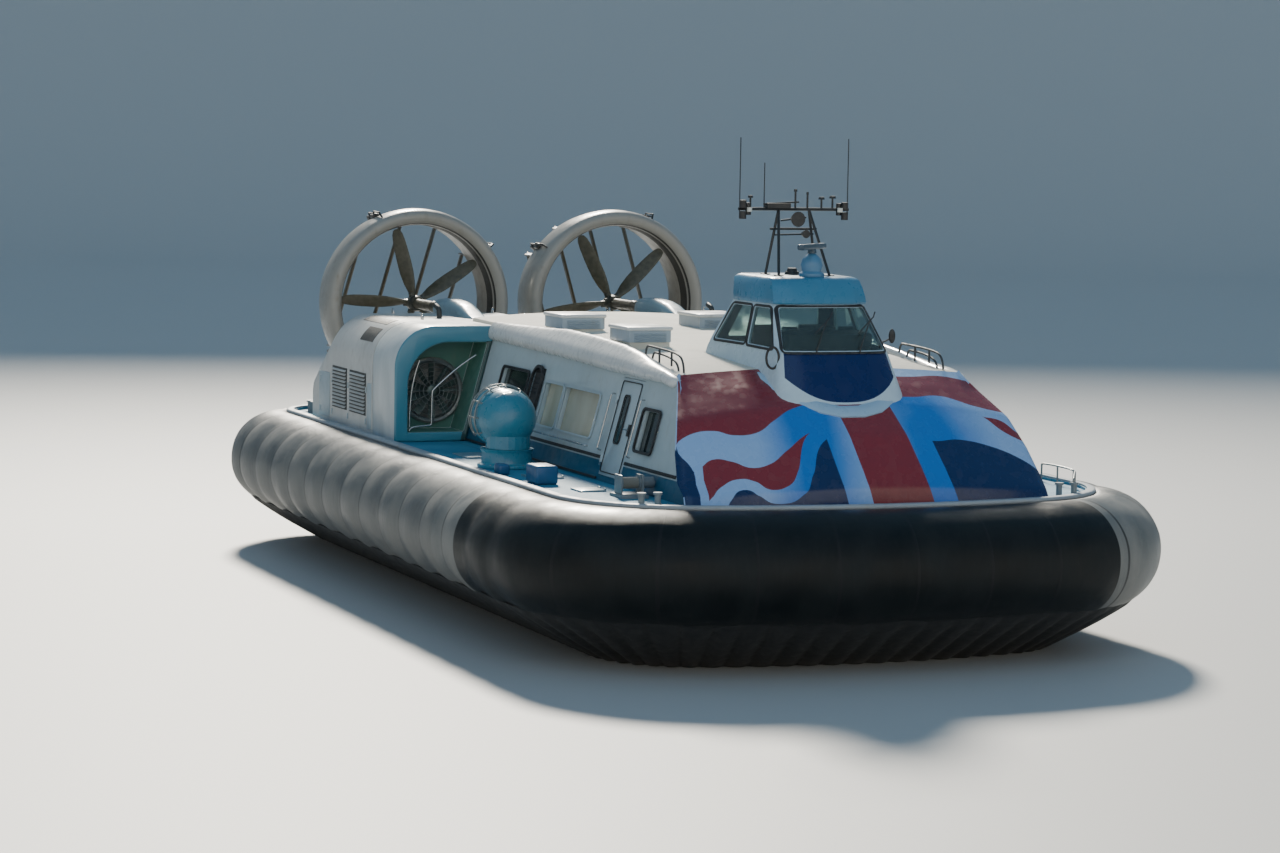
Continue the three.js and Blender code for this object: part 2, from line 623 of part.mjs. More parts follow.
// Mast on the wheelhouse roof: two A-frames, cross bars, whip aerials and lamps
const MAST = { x: 6370, barHalf: 1090, barZ: 7810, midZ: 7450, whipTop: 9100, shortWhipY: -590, shortWhipTop: 8650 };
const MAST_FOOT_Z = ROOF_TOP_Z + GAP;
const mast = [
  bar(vec(MAST.x, -MAST.barHalf, MAST.barZ), vec(MAST.x, MAST.barHalf, MAST.barZ), 30),
  bar(vec(MAST.x, -460, MAST.midZ), vec(MAST.x, 460, MAST.midZ), 22),
  bar(vec(MAST.x, MAST.shortWhipY, MAST.barZ), vec(MAST.x, MAST.shortWhipY, MAST.shortWhipTop), 11, 6),
];
for (const sign of [-1, 1]) {
  for (const footX of [6290, 6900]) {
    const foot = vec(footX, sign * 500, MAST_FOOT_Z);
    mast.push(bar(foot.clone().setZ(MAST_FOOT_Z + 8), vec(MAST.x, sign * 300, MAST.barZ), 26));
    mast.push(block(footX - 70, footX + 70, sign * 500 - 70, sign * 500 + 70, MAST_FOOT_Z, MAST_FOOT_Z + 16));
  }
  mast.push(bar(vec(MAST.x, sign * 1070, 7640), vec(MAST.x, sign * 1070, MAST.whipTop), 11, 6));
  mast.push(bar(vec(MAST.x, sign * 900, 7700), vec(MAST.x, sign * 900, 7920), 55));
}
add('mast', common(join(...mast), block(5000, 8000, -2000, 2000, MAST_FOOT_Z, 9200)), 'black');

// Radar: pedestal with a bearing socket, and the scanner bar that turns on it
const RADAR = { x: 7230, y: 0, pinR: 30, top: 7040, rest: deg(46) };
const neckPoint = (up) => vec(RADAR.x, RADAR.y, RADAR.top + up);
const socket = bore(neckPoint(-60), neckPoint(40), RADAR.pinR, 12);
const dome = turned([[0, 0], [230, 0], [230, 60], [170, 100], [200, 210], [170, 320], [110, 380], [60, 420], [0, 420]], 16)
  .translate(RADAR.x, RADAR.y, MAST_FOOT_Z);
add('radar_pedestal', cut(dome, socket), 'greyBlue');
const scanner = join(
  block(-60, 60, -600, 600, 70, 170).rotateZ(RADAR.rest),
  bar(vec(0, 0, 5), vec(0, 0, 90), 70, 12),
  bar(vec(0, 0, -50), vec(0, 0, 20), RADAR.pinR, 12),
);
add('radar_scanner', scanner, 'cream', [RADAR.x, RADAR.y, RADAR.top + 1]);

// Fan rooms beside the aft cabin: an arch with a bulkhead and a spider that holds the lift fan
const FAN_ROOM = {
  fore: -2400, bulkhead: -3300, aft: CABIN_AFT_X + GAP, outerY: 4850, topZ: 5150, shoulder: 4000,
};
const FAN = { x: -3210, y: 3820, z: 3780, r: 570, hubR: 130, shaftR: 40, blades: 10 };
const besideCabin = (z, more) => [cabinY(z) + more, z];
const roomOutline = [
  besideCabin(SEAT_Z, 0.6), [FAN_ROOM.outerY, SEAT_Z], [FAN_ROOM.outerY, FAN_ROOM.shoulder],
  ...arc(4000, 4300, 850, 0, 90, 8), besideCabin(FAN_ROOM.topZ, 0.6),
];
const mouthOutline = [
  besideCabin(2990, 90), [4570, 2990], [4570, 3900], ...arc(3700, 3950, 870, 0, 90, 8), besideCabin(4820, 90),
];

function spider() {
  return [
    block(FAN_ROOM.bulkhead - 70, FAN_ROOM.bulkhead - 10, FAN.y - 640, FAN.y + 640, FAN.z - 30, FAN.z + 30),
    block(FAN_ROOM.bulkhead - 70, FAN_ROOM.bulkhead - 10, FAN.y - 30, FAN.y + 30, FAN.z - 640, FAN.z + 640),
    bar(vec(FAN_ROOM.bulkhead - 160, FAN.y, FAN.z), vec(FAN_ROOM.bulkhead - 5, FAN.y, FAN.z), 90, 12),
  ];
}

for (const [side, sign] of SIDES) {
  const shell = cut(
    prismX(roomOutline, FAN_ROOM.aft, FAN_ROOM.fore),
    prismX(mouthOutline, FAN_ROOM.bulkhead, FAN_ROOM.fore + 100),
    prismX(mouthOutline, FAN_ROOM.aft - 100, FAN_ROOM.bulkhead - 80),
    bar(vec(-3500, FAN.y, FAN.z), vec(-3000, FAN.y, FAN.z), 600, 24),
  );
  const shaftHole = bore(vec(-3600, FAN.y, FAN.z), vec(-3200, FAN.y, FAN.z), FAN.shaftR, 12);
  add(`fan_room_${side}`, toSide(cut(join(shell, ...spider()), shaftHole), sign), 'cream');

  const blades = Array.from({ length: FAN.blades }, (_, i) => new THREE.BoxGeometry(14, 150, FAN.r - 110)
    .rotateZ(deg(35)).translate(0, 0, (FAN.r + 110) / 2).rotateX((i * 2 * Math.PI) / FAN.blades));
  const fan = join(
    bar(vec(-55, 0, 0), vec(70, 0, 0), FAN.hubR, 12),
    bar(vec(-220, 0, 0), vec(0, 0, 0), FAN.shaftR, 12),
    ...blades,
  );
  add(`lift_fan_${side}`, fan, 'metal', [FAN.x, sign * FAN.y, FAN.z]);
}

// Engine rooms aft of the cabin: a shell open to the deck, falling towards the ducts, with the engine inside
const ROOM = { inner: 1000, outer: 4850, fore: CABIN_AFT_X - GAP, knee: -7000, aft: -8500, skin: 70 };
const ROOM_STATIONS = [
  // x, top height, shoulder radius
  [ROOM.fore, 5150, 850],
  [ROOM.knee, 5150, 850],
  [ROOM.aft, 3900, 500],
];
function roomRing(x, top, radius, skin) {
  const outline = [
    [ROOM.inner + skin, SEAT_Z - skin], [ROOM.outer - skin, SEAT_Z - skin],
    ...arc(ROOM.outer - radius, top - radius, radius - skin, 0, 90, 8),
    [ROOM.inner + 200, top - skin], [ROOM.inner + skin, top - 200],
  ];
  return outline.map(([y, z]) => vec(x, y, z));
}
const capYZ = (ring) => ring.map((p) => new THREE.Vector2(p.y, p.z));
function roomShape(skin) {
  const moved = [-1, 0, 1];
  const rings = ROOM_STATIONS.map(([x, top, radius], i) => roomRing(x + skin * moved[i], top, radius, skin));
  return loft(rings, capYZ(rings[0]));
}
const ENGINE = { fore: -5100, aft: -6900, inner: 2300, outer: 3300, top: 4050 };
for (const [side, sign] of SIDES) {
  add(`engine_room_${side}`, toSide(cut(roomShape(0), roomShape(ROOM.skin)), sign), 'cream');
  const engine = join(
    block(ENGINE.aft, ENGINE.fore, ENGINE.inner, ENGINE.outer, 3050, ENGINE.top),
    block(ENGINE.aft + 200, ENGINE.aft + 400, ENGINE.inner, ENGINE.outer, SEAT_Z, 3060),
    block(ENGINE.fore - 400, ENGINE.fore - 200, ENGINE.inner, ENGINE.outer, SEAT_Z, 3060),
  );
  add(`engine_${side}`, toSide(engine, sign), 'metal');
}

// Propeller drives: a housing on each engine room and the shaft tube to the propeller
const DRIVE = { fore: -4600, aft: -7250, half: 250, top: 5480, tubeR: 110, shaftR: 60, tubeEnd: -8950 };
const driveOutline = [
  [DRIVE.aft, 5150 + GAP], [DRIVE.fore, 5150 + GAP], [DRIVE.fore - 150, 5380], [DRIVE.fore - 450, DRIVE.top],
  [DRIVE.aft + 250, DRIVE.top], [DRIVE.aft, 5400],
];
for (const [side, sign] of SIDES) {
  const drive = cut(
    join(
      prismY(driveOutline, DUCT_Y - DRIVE.half, DUCT_Y + DRIVE.half),
      bar(vec(-7200, DUCT_Y, DUCT_Z), vec(DRIVE.tubeEnd, DUCT_Y, DUCT_Z), DRIVE.tubeR, 16),
    ),
    bore(vec(-9000, DUCT_Y, DUCT_Z), vec(-8650, DUCT_Y, DUCT_Z), DRIVE.shaftR, 16),
  );
  add(`drive_housing_${side}`, toSide(drive, sign), 'greyBlue');
}

// Five-blade propellers, drawn round their own hub
const BLADE_SECTIONS = [
  // radius, chord, thickness, pitch angle
  [120, 180, 100, 66],
  [450, 290, 62, 48],
  [950, 330, 38, 34],
  [1420, 280, 24, 27],
  [1620, 210, 16, 24],
  [PROP_R, 80, 8, 23],
];
function bladeRing([radius, chord, thick, pitch]) {
  const outline = [[0.5, 0], [0.2, 0.5], [-0.2, 0.42], [-0.5, 0], [-0.2, -0.3], [0.2, -0.5]];
  const turn = deg(90 - pitch);
  return outline.map(([c, t]) => vec(c * chord, t * thick, radius).applyAxisAngle(vec(0, 0, 1), turn));
}
function propeller(firstAngle) {
  const rings = BLADE_SECTIONS.map(bladeRing);
  const blade = loft(rings);
  const blades = Array.from({ length: 5 }, (_, i) => blade.clone().rotateX(deg(firstAngle - 90 + 72 * i)));
  const hubProfile = [[0, -230], [110, -200], [170, -90], [180, 150], [150, 235], [0, 235]];
  const hub = turned(hubProfile, 16).rotateY(Math.PI / 2);
  return join(hub, bar(vec(200, 0, 0), vec(500, 0, 0), DRIVE.shaftR, 16), ...blades);
}
const PROP_ANGLES = { port: 117, starboard: 105 };
for (const [side, sign] of SIDES) {
  add(`propeller_${side}`, propeller(PROP_ANGLES[side]), 'blade', [PROP_X, sign * DUCT_Y, DUCT_Z]);
}

// Ducts: a ring with a rounded lip, a foot on the deck and the lugs that hold the rudders
const DUCT_PROFILE = [
  // x, radius
  [DUCT_REAR_X, 1810], [-9700, 1765], [-9300, DUCT_INNER_R], [-8950, 1762], [-8780, 1830], [DUCT_FRONT_X, 1930],
  [-8760, 2035], [-8920, 2090], [-9200, DUCT_OUTER_R], [-9700, 2040], [DUCT_REAR_X, 1900],
];
const RUDDER_ROW = [-1200, -400, 400, 1200];
const RUDDER_RIM_R = 1855;
const RUDDER = { lead: 150, trail: 750, thick: 90, pinR: 30, lug: 40, rest: deg(-18) };
const rudderHalf = (u) => Math.sqrt(RUDDER_RIM_R ** 2 - u ** 2) - 26;
const canted = (geometry) => geometry.rotateX(RUDDER_CANT);

for (const [side, sign] of SIDES) {
  const ring = turned([...DUCT_PROFILE, DUCT_PROFILE[0]].map(([x, r]) => [r, x]), 40).rotateY(Math.PI / 2);
  const lugs = RUDDER_ROW.flatMap((u) => [-1, 1].map((end) => {
    const v = end * (rudderHalf(u) + 6 + RUDDER.lug / 2);
    return block(RUDDER_X - 80, DUCT_REAR_X + 60, u - 60, u + 60, v - RUDDER.lug / 2, v + RUDDER.lug / 2);
  }));
  const bores = RUDDER_ROW.map((u) => bore(vec(RUDDER_X, u, -2500), vec(RUDDER_X, u, 2500), RUDDER.pinR, 10));
  const tilt = (g) => canted(g).translate(0, DUCT_Y, DUCT_Z);
  const foot = block(-10050, -8950, DUCT_Y - 700, DUCT_Y + 700, SEAT_Z, 3300);
  const duct = cut(join(tilt(ring), ...lugs.map(tilt), foot), ...bores.map(tilt));
  add(`duct_${side}`, toSide(duct, sign), 'duct');

  RUDDER_ROW.forEach((u, i) => {
    const half = rudderHalf(u);
    const upper = [[60, 0.42], [-120, 0.5], [-RUDDER.trail, 0.06]];
    const section = [[RUDDER.lead, 0], ...upper, ...upper.map(([x, t]) => [x, -t]).reverse()];
    const ringAt = (v) => section.map(([x, t]) => vec(x, t * RUDDER.thick, v));
    // The pin's flats stay square to the bores' flats while the blade rests turned
    const reach = half + 6 + RUDDER.lug;
    const pin = bar(vec(0, 0, -reach), vec(0, 0, reach), RUDDER.pinR, 10).rotateZ(-RUDDER.rest);
    const blade = join(loft([ringAt(-half), ringAt(half)]), pin);
    const mesh = add(`rudder_${side}_${i + 1}`, blade, 'rudder');
    const centre = vec(0, u, 0).applyAxisAngle(vec(1, 0, 0), RUDDER_CANT);
    mesh.position.set(RUDDER_X, sign * (DUCT_Y + centre.y), DUCT_Z + centre.z);
    mesh.rotation.set(sign * RUDDER_CANT, 0, RUDDER.rest);
  });
}

// Bow thrusters: a pedestal on each side deck and an elbow nozzle that turns on it
const THRUSTER = { x: 2700, y: 4200, z: 3730, r: 550, boreR: 480, outlet: -520, pinR: 60 };
for (const [side, sign] of SIDES) {
  const pedestal = turned([[0, 0], [560, 0], [560, 60], [480, 90], [480, 300], [520, 360], [0, 360]], 20)
    .translate(THRUSTER.x, THRUSTER.y, SEAT_Z);
  const hole = bore(vec(THRUSTER.x, THRUSTER.y, 3000), vec(THRUSTER.x, THRUSTER.y, 3300), THRUSTER.pinR, 12);
  add(`thruster_base_${side}`, toSide(cut(pedestal, hole), sign), 'greyBlue');

  const elbow = turned([
    [0, 560], [230, 520], [400, 400], [505, 230], [THRUSTER.r, 0], [THRUSTER.r, THRUSTER.outlet],
    [THRUSTER.boreR, THRUSTER.outlet], [THRUSTER.boreR, -40], [0, 60],
  ], 20).rotateY(Math.PI / 2);
  const neck = bar(vec(60, 0, 3168 - THRUSTER.z), vec(60, 0, -200), 420, 20);
  const nozzle = join(
    elbow,
    cut(neck, bar(vec(-700, 0, 0), vec(20, 0, 0), THRUSTER.boreR + 20, 20)),
    bar(vec(0, 0, 3080 - THRUSTER.z), vec(0, 0, 3200 - THRUSTER.z), THRUSTER.pinR, 12),
  );
  add(`thruster_nozzle_${side}`, nozzle, 'greyBlue', [THRUSTER.x, sign * THRUSTER.y, THRUSTER.z]);
}

export default craft;
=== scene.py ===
"""Medium passenger hovercraft on its inflated skirt: the finished look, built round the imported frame."""
import math

import bmesh
import bpy
from mathutils import Matrix, Vector, noise


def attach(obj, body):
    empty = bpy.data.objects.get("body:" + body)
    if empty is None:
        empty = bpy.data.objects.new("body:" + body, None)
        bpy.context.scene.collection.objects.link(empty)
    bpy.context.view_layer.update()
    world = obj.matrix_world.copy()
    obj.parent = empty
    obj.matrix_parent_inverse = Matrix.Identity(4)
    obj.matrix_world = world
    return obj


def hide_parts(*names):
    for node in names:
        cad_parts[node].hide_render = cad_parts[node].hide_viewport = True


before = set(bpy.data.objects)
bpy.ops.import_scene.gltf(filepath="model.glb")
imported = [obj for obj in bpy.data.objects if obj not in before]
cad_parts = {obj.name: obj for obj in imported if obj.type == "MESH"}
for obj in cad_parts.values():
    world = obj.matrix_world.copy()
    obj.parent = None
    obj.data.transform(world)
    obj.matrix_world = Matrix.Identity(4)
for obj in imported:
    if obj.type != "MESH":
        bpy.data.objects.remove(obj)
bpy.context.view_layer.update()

# Camera and studio. The eye stands off the starboard bow at the photograph's height and distance,
# with a lens long enough for the craft to fill the frame. The pale floor turns up into a wall far
# off. The light is soft and blue, with a low warm sun astern to port, so that it grazes the roof
# and the skirt and leaves the starboard side in shade.
EYE = Vector((64.11, -25.27, 9.41))
AIM = Vector((1.9, -1.2, 3.45))
LENS = 97.0
ROLL = math.radians(1.0)
FLOOR_RADIUS = 150.0
SWEEP_RADIUS = 70.0
WALL_TOP = 105.0

camera = bpy.data.objects.new("camera", bpy.data.cameras.new("camera"))
camera.data.lens = LENS
camera.data.sensor_width = 36.0
camera.data.clip_end = 1000.0
camera.matrix_world = (
    Matrix.Translation(EYE)
    @ (AIM - EYE).to_track_quat("-Z", "Y").to_matrix().to_4x4()
    @ Matrix.Rotation(ROLL, 4, "Z")
)
bpy.context.scene.collection.objects.link(camera)
bpy.context.scene.camera = camera


def studio_floor():
    paint = bpy.data.materials.new("studio_floor")
    paint.use_nodes = True
    shader = paint.node_tree.nodes["Principled BSDF"]
    shader.inputs["Base Color"].default_value = (0.50, 0.50, 0.495, 1.0)
    shader.inputs["Roughness"].default_value = 0.55
    bm = bmesh.new()
    points = [(0.0, 0.0), (FLOOR_RADIUS, 0.0)]
    for step in range(1, 13):
        turn = math.radians(7.5 * step)
        points.append((FLOOR_RADIUS + SWEEP_RADIUS * math.sin(turn), SWEEP_RADIUS * (1 - math.cos(turn))))
    points.append((FLOOR_RADIUS + SWEEP_RADIUS, WALL_TOP))
    verts = [bm.verts.new((r, 0, z)) for r, z in points]
    edges = [bm.edges.new(pair) for pair in zip(verts, verts[1:])]
    bmesh.ops.spin(
        bm, geom=verts + edges, cent=(0, 0, 0), axis=(0, 0, 1), angle=math.tau, steps=72, use_merge=True
    )
    bmesh.ops.remove_doubles(bm, verts=bm.verts, dist=0.001)
    bmesh.ops.recalc_face_normals(bm, faces=bm.faces)
    bmesh.ops.reverse_faces(bm, faces=bm.faces)
    mesh = bpy.data.meshes.new("studio_floor")
    bm.to_mesh(mesh)
    bm.free()
    mesh.shade_smooth()
    mesh.materials.append(paint)
    floor = bpy.data.objects.new("studio_floor", mesh)
    bpy.context.scene.collection.objects.link(floor)


def sun(name, from_point, strength, angle, colour):
    lamp = bpy.data.lights.new(name, "SUN")
    lamp.energy = strength
    lamp.angle = math.radians(angle)
    lamp.color = colour
    holder = bpy.data.objects.new(name, lamp)
    holder.rotation_euler = Vector(from_point).to_track_quat("Z", "Y").to_euler()
    bpy.context.scene.collection.objects.link(holder)


studio_floor()
sun("key_astern", (-0.90, 0.24, 0.55), 6.8, 8.0, (1.0, 0.93, 0.80))
sun("fill_ahead", (0.8, -0.45, 0.8), 0.35, 60.0, (0.66, 0.84, 1.0))
world = bpy.data.worlds.new("studio_sky")
bpy.context.scene.world = world
world.use_nodes = True
world.node_tree.nodes["Background"].inputs["Color"].default_value = (0.36, 0.67, 1.0, 1.0)
world.node_tree.nodes["Background"].inputs["Strength"].default_value = 0.40

# Hull. A welded buoyancy body with a raised rim round its deck, painted dark below and blue-grey
# with grit on deck. Plates are joined by welds that still show, and the paint is worn in patches.
HALF_BEAM = 5.15
DECK_Z = 2.8
RIM_Z = 2.85


def start_finish(name, roughness, metallic=0.0, coat=0.0):
    """A new material, its node tree and the object coordinates to paint by."""
    finish = bpy.data.materials.new(name)
    finish.use_nodes = True
    tree = finish.node_tree
    shader = tree.nodes["Principled BSDF"]
    shader.inputs["Roughness"].default_value = roughness
    shader.inputs["Metallic"].default_value = metallic
    shader.inputs["Coat Weight"].default_value = coat
    return finish, tree, tree.nodes.new("ShaderNodeTexCoord").outputs["Object"]


def coloured(tree, colour):
    """Joins a colour socket to the shader's base colour."""
    tree.links.new(colour, tree.nodes["Principled BSDF"].inputs["Base Color"])


def stretched(tree, place, scale, turn=(0, 0, 0)):
    """Coordinates scaled by a different amount along each axis."""
    mapping = tree.nodes.new("ShaderNodeMapping")
    mapping.inputs["Scale"].default_value = scale
    mapping.inputs["Rotation"].default_value = turn
    tree.links.new(place, mapping.inputs["Vector"])
    return mapping.outputs["Vector"]


def cloudy(tree, place, scale, low, high, detail=6.0):
    """Soft noise squeezed into 0 to 1 between two levels."""
    cloud = tree.nodes.new("ShaderNodeTexNoise")
    cloud.inputs["Scale"].default_value = scale
    cloud.inputs["Detail"].default_value = detail
    tree.links.new(place, cloud.inputs["Vector"])
    squeeze = tree.nodes.new("ShaderNodeMapRange")
    squeeze.inputs["From Min"].default_value = low
    squeeze.inputs["From Max"].default_value = high
    tree.links.new(cloud.outputs["Fac"], squeeze.inputs["Value"])
    return squeeze.outputs["Result"]


def blended(tree, factor, first, second):
    """Colour that goes from the first to the second; each is a colour or a socket."""
    mix = tree.nodes.new("ShaderNodeMix")
    mix.data_type = "RGBA"
    tree.links.new(factor, mix.inputs["Factor"])
    for socket, colour in ((mix.inputs[6], first), (mix.inputs[7], second)):
        if isinstance(colour, tuple):
            socket.default_value = (*colour, 1.0)
        else:
            tree.links.new(colour, socket)
    return mix.outputs[2]


def figure(tree, operation, *values):
    """One math node of numbers or sockets."""
    node = tree.nodes.new("ShaderNodeMath")
    node.operation = operation
    for socket, value in zip(node.inputs, values):
        if isinstance(value, (int, float)):
            socket.default_value = value
        else:
            tree.links.new(value, socket)
    return node.outputs["Value"]


def split(tree, place):
    """The X, Y and Z sockets of a vector."""
    parts = tree.nodes.new("ShaderNodeSeparateXYZ")
    tree.links.new(place, parts.inputs["Vector"])
    return parts.outputs["X"], parts.outputs["Y"], parts.outputs["Z"]


def rough_between(tree, factor, low, high):
    """Roughness that follows a 0 to 1 socket."""
    spread = tree.nodes.new("ShaderNodeMapRange")
    spread.inputs["To Min"].default_value = low
    spread.inputs["To Max"].default_value = high
    tree.links.new(factor, spread.inputs["Value"])
    tree.links.new(spread.outputs["Result"], tree.nodes["Principled BSDF"].inputs["Roughness"])


def raised(tree, *heights):
    """Bump from (height socket, depth in metres) pairs, each stacked on the one before."""
    normal = None
    for height, depth in heights:
        bump = tree.nodes.new("ShaderNodeBump")
        bump.inputs["Strength"].default_value = 0.8
        bump.inputs["Distance"].default_value = depth
        tree.links.new(height, bump.inputs["Height"])
        if normal:
            tree.links.new(normal, bump.inputs["Normal"])
        normal = bump.outputs["Normal"]
    tree.links.new(normal, tree.nodes["Principled BSDF"].inputs["Normal"])


def near_line(tree, value, pitch, half_width):
    """1 within half a width of every whole number of pitches along a value, and 0 elsewhere."""
    turn = figure(tree, "PINGPONG", value, pitch / 2)
    return figure(tree, "LESS_THAN", turn, half_width)


def plate_paint(
    name, colour, roughness, stain=(0.33, 0.30, 0.25), dirt=0.3, coat=0.12, metallic=0.0, low=None
):
    """Marine paint: slight colour drift, streaks that run down, dried salt and orange peel.

    low is a second colour below a height: (colour, height).
    """
    finish, tree, place = start_finish(name, roughness, metallic, coat)
    drift = cloudy(tree, place, 0.8, 0.3, 0.7)
    base = blended(tree, drift, tuple(0.84 * c for c in colour), colour)
    if low:
        low_colour, height = low
        z = split(tree, place)[2]
        base = blended(tree, figure(tree, "LESS_THAN", z, height), base, low_colour)
    runs = cloudy(tree, stretched(tree, place, (3.0, 3.0, 0.35)), 2.4, 0.5, 0.8)
    salt = cloudy(tree, place, 6.0, 0.42, 0.75, 9.0)
    soiled = figure(tree, "MULTIPLY", runs, salt)
    soiled = figure(tree, "MULTIPLY", soiled, 2.2 * dirt)
    coloured(tree, blended(tree, soiled, base, stain))
    rough_between(tree, salt, roughness * 0.8, min(1.0, roughness * 1.3))
    raised(tree, (cloudy(tree, place, 70.0, 0.2, 0.8, 3.0), 0.0003))
    return finish


def repaint(finish, *node_names):
    """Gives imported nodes, which keep their shape, a finished material."""
    for node_name in node_names:
        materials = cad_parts[node_name].data.materials
        materials.clear()
        materials.append(finish)


def hull_finish():
    """Gritty blue-grey deck over dark sides, with weld lines every plate."""
    finish, tree, place = start_finish("hull_paint", 0.5, 0.0, 0.05)
    x, y, z = split(tree, place)
    on_deck = figure(tree, "GREATER_THAN", z, DECK_Z - 0.02)
    grit = cloudy(tree, place, 120.0, 0.35, 0.65, 3.0)
    worn = cloudy(tree, place, 1.1, 0.4, 0.7, 9.0)
    deck = blended(tree, worn, (0.04, 0.22, 0.36), (0.09, 0.31, 0.44))
    side = blended(tree, worn, (0.025, 0.04, 0.06), (0.06, 0.07, 0.08))
    welds = figure(
        tree, "MAXIMUM", near_line(tree, x, 2.4, 0.012), near_line(tree, y, 1.2, 0.012)
    )
    paint = blended(tree, on_deck, side, deck)
    welded = figure(tree, "MULTIPLY", welds, 0.5)
    coloured(tree, blended(tree, welded, paint, (0.05, 0.07, 0.08)))
    rough_between(tree, grit, 0.45, 0.85)
    raised(tree, (grit, 0.0015), (welds, 0.004))
    return finish


repaint(hull_finish(), "hull")

# Rubbing strip. A half-round moulding of pale grey rubber bolted along the top of the rim, all round
# the craft. It is bent round the bow and stern in one run, and darkens where it is knocked.
BOW_X = 10.75
STERN_X = -10.75
BOW_RADIUS = 14.0
BOW_CORNER = 2.5
STERN_CORNER = 1.5
BOW_SPLIT_X = 6.8
STERN_SPLIT_X = -8.9
bow_centre = Vector((BOW_X - BOW_RADIUS, 0, 0))
corner_y = HALF_BEAM - BOW_CORNER
corner_x = bow_centre.x + math.sqrt((BOW_RADIUS - BOW_CORNER) ** 2 - corner_y**2)
meet = math.atan2(corner_y, corner_x - bow_centre.x)
stern_x = STERN_X + STERN_CORNER
stern_y = HALF_BEAM - STERN_CORNER


def arc_points(cx, cy, radius, first, last, steps):
    """Pairs on an arc from one angle to another, in degrees."""
    angles = [math.radians(first + (last - first) * i / steps) for i in range(steps + 1)]
    return [(cx + radius * math.cos(a), cy + radius * math.sin(a)) for a in angles]


def joined_edges(bm, points, closed=False):
    """Vertices joined by edges in order, the start of a swept or spun shape."""
    verts = [bm.verts.new(p) for p in points]
    pairs = list(zip(verts, verts[1:]))
    if closed:
        pairs.append((verts[-1], verts[0]))
    return [bm.edges.new(pair) for pair in pairs]


def pushed(bm, edges, offset, steps=1):
    """Extrudes edges along an offset in equal steps and returns the last ones."""
    for _ in range(steps):
        grown = bmesh.ops.extrude_edge_only(bm, edges=edges)["geom"]
        verts = [g for g in grown if isinstance(g, bmesh.types.BMVert)]
        edges = [g for g in grown if isinstance(g, bmesh.types.BMEdge)]
        bmesh.ops.translate(bm, verts=verts, vec=Vector(offset) / steps)
    return edges


def swung(bm, edges, centre, angle, steps):
    """Spins edges about a vertical axis and returns the last ones."""
    geometry = edges + list({v for e in edges for v in e.verts})
    spun = bmesh.ops.spin(bm, geom=geometry, cent=centre, axis=(0, 0, 1), angle=angle, steps=steps)
    return [g for g in spun["geom_last"] if isinstance(g, bmesh.types.BMEdge)]


def swept_round_deck(section, step):
    """A closed section of (outward, height) pairs carried once round the whole deck edge."""
    bm = bmesh.new()
    points = [(BOW_SPLIT_X, -HALF_BEAM - out, z) for out, z in section]
    edges = joined_edges(bm, points, closed=True)
    ahead = corner_x - BOW_SPLIT_X
    bow_turn = math.pi / 2 - meet
    astern = STERN_SPLIT_X - stern_x
    side = BOW_SPLIT_X - STERN_SPLIT_X
    count = lambda length: max(3, round(length / step))
    edges = pushed(bm, edges, (ahead, 0, 0), count(ahead))
    edges = swung(bm, edges, (corner_x, -corner_y, 0), bow_turn, count(bow_turn * BOW_CORNER))
    edges = swung(bm, edges, bow_centre, 2 * meet, count(2 * meet * BOW_RADIUS))
    edges = swung(bm, edges, (corner_x, corner_y, 0), bow_turn, count(bow_turn * BOW_CORNER))
    edges = pushed(bm, edges, (-ahead, 0, 0), count(ahead))
    edges = pushed(bm, edges, (-side, 0, 0), count(side))
    edges = pushed(bm, edges, (-astern, 0, 0), count(astern))
    edges = swung(bm, edges, (stern_x, stern_y, 0), math.pi / 2, count(STERN_CORNER * 2))
    edges = pushed(bm, edges, (0, -2 * stern_y, 0), count(2 * stern_y))
    edges = swung(bm, edges, (stern_x, -stern_y, 0), math.pi / 2, count(STERN_CORNER * 2))
    edges = pushed(bm, edges, (astern, 0, 0), count(astern))
    pushed(bm, edges, (side, 0, 0), count(side))
    bmesh.ops.remove_doubles(bm, verts=bm.verts, dist=0.0005)
    return bm


def show(name, bm, finish, body="craft", sharp=34.0, replaces=()):
    """Closes a bmesh into a finished piece at the origin that rides on a body."""
    bmesh.ops.remove_doubles(bm, verts=bm.verts, dist=0.0001)
    bmesh.ops.recalc_face_normals(bm, faces=bm.faces)
    mesh = bpy.data.meshes.new(name)
    bm.to_mesh(mesh)
    bm.free()
    mesh.shade_smooth()
    mesh.set_sharp_from_angle(angle=math.radians(sharp))
    mesh.materials.append(finish)
    piece = bpy.data.objects.new(name, mesh)
    bpy.context.scene.collection.objects.link(piece)
    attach(piece, body)
    if replaces:
        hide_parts(*replaces)
    return piece


strip_section = arc_points(-0.012, RIM_Z - 0.01, 0.045, -90, 90, 8) + [
    (-0.13, RIM_Z + 0.035), (-0.13, RIM_Z - 0.01)
]
strip_paint = plate_paint("rubbing_strip_rubber", (0.36, 0.40, 0.44), 0.55, dirt=0.5, coat=0.0)
show("rubbing_strip", swept_round_deck(strip_section, 0.25), strip_paint)

# Skirt bag. A tube of rubber-coated fabric, black all round, clamped to the deck edge and the chine,
# kept round by the lift air. Its panels are lapped and glued every metre or so and pinch in at the laps.
# Its sides are painted grey as painted sheen. A doubling panel sewn on past each bow corner is painted
# lighter still, partly its own paler fabric and partly painted sunlit sheen.
BAG_OUT = 0.22
BAG_Z = 1.8
BAG_R = 1.03
LOBE = 1.31
# Runs from the bow where the black ends and the painted sheen of the sides begins, and the width of the
# lighter painted sunlit strip past it.
BLACK_TO_STARBOARD = 8.35
BLACK_TO_PORT = 3.75
SUNLIT_DOUBLING_WIDTH = 1.3
bow_run = BOW_RADIUS * meet
corner_run = bow_run + BOW_CORNER * (math.pi / 2 - meet)
side_run = corner_run + corner_x - stern_x
stern_run = side_run + STERN_CORNER * math.pi / 2


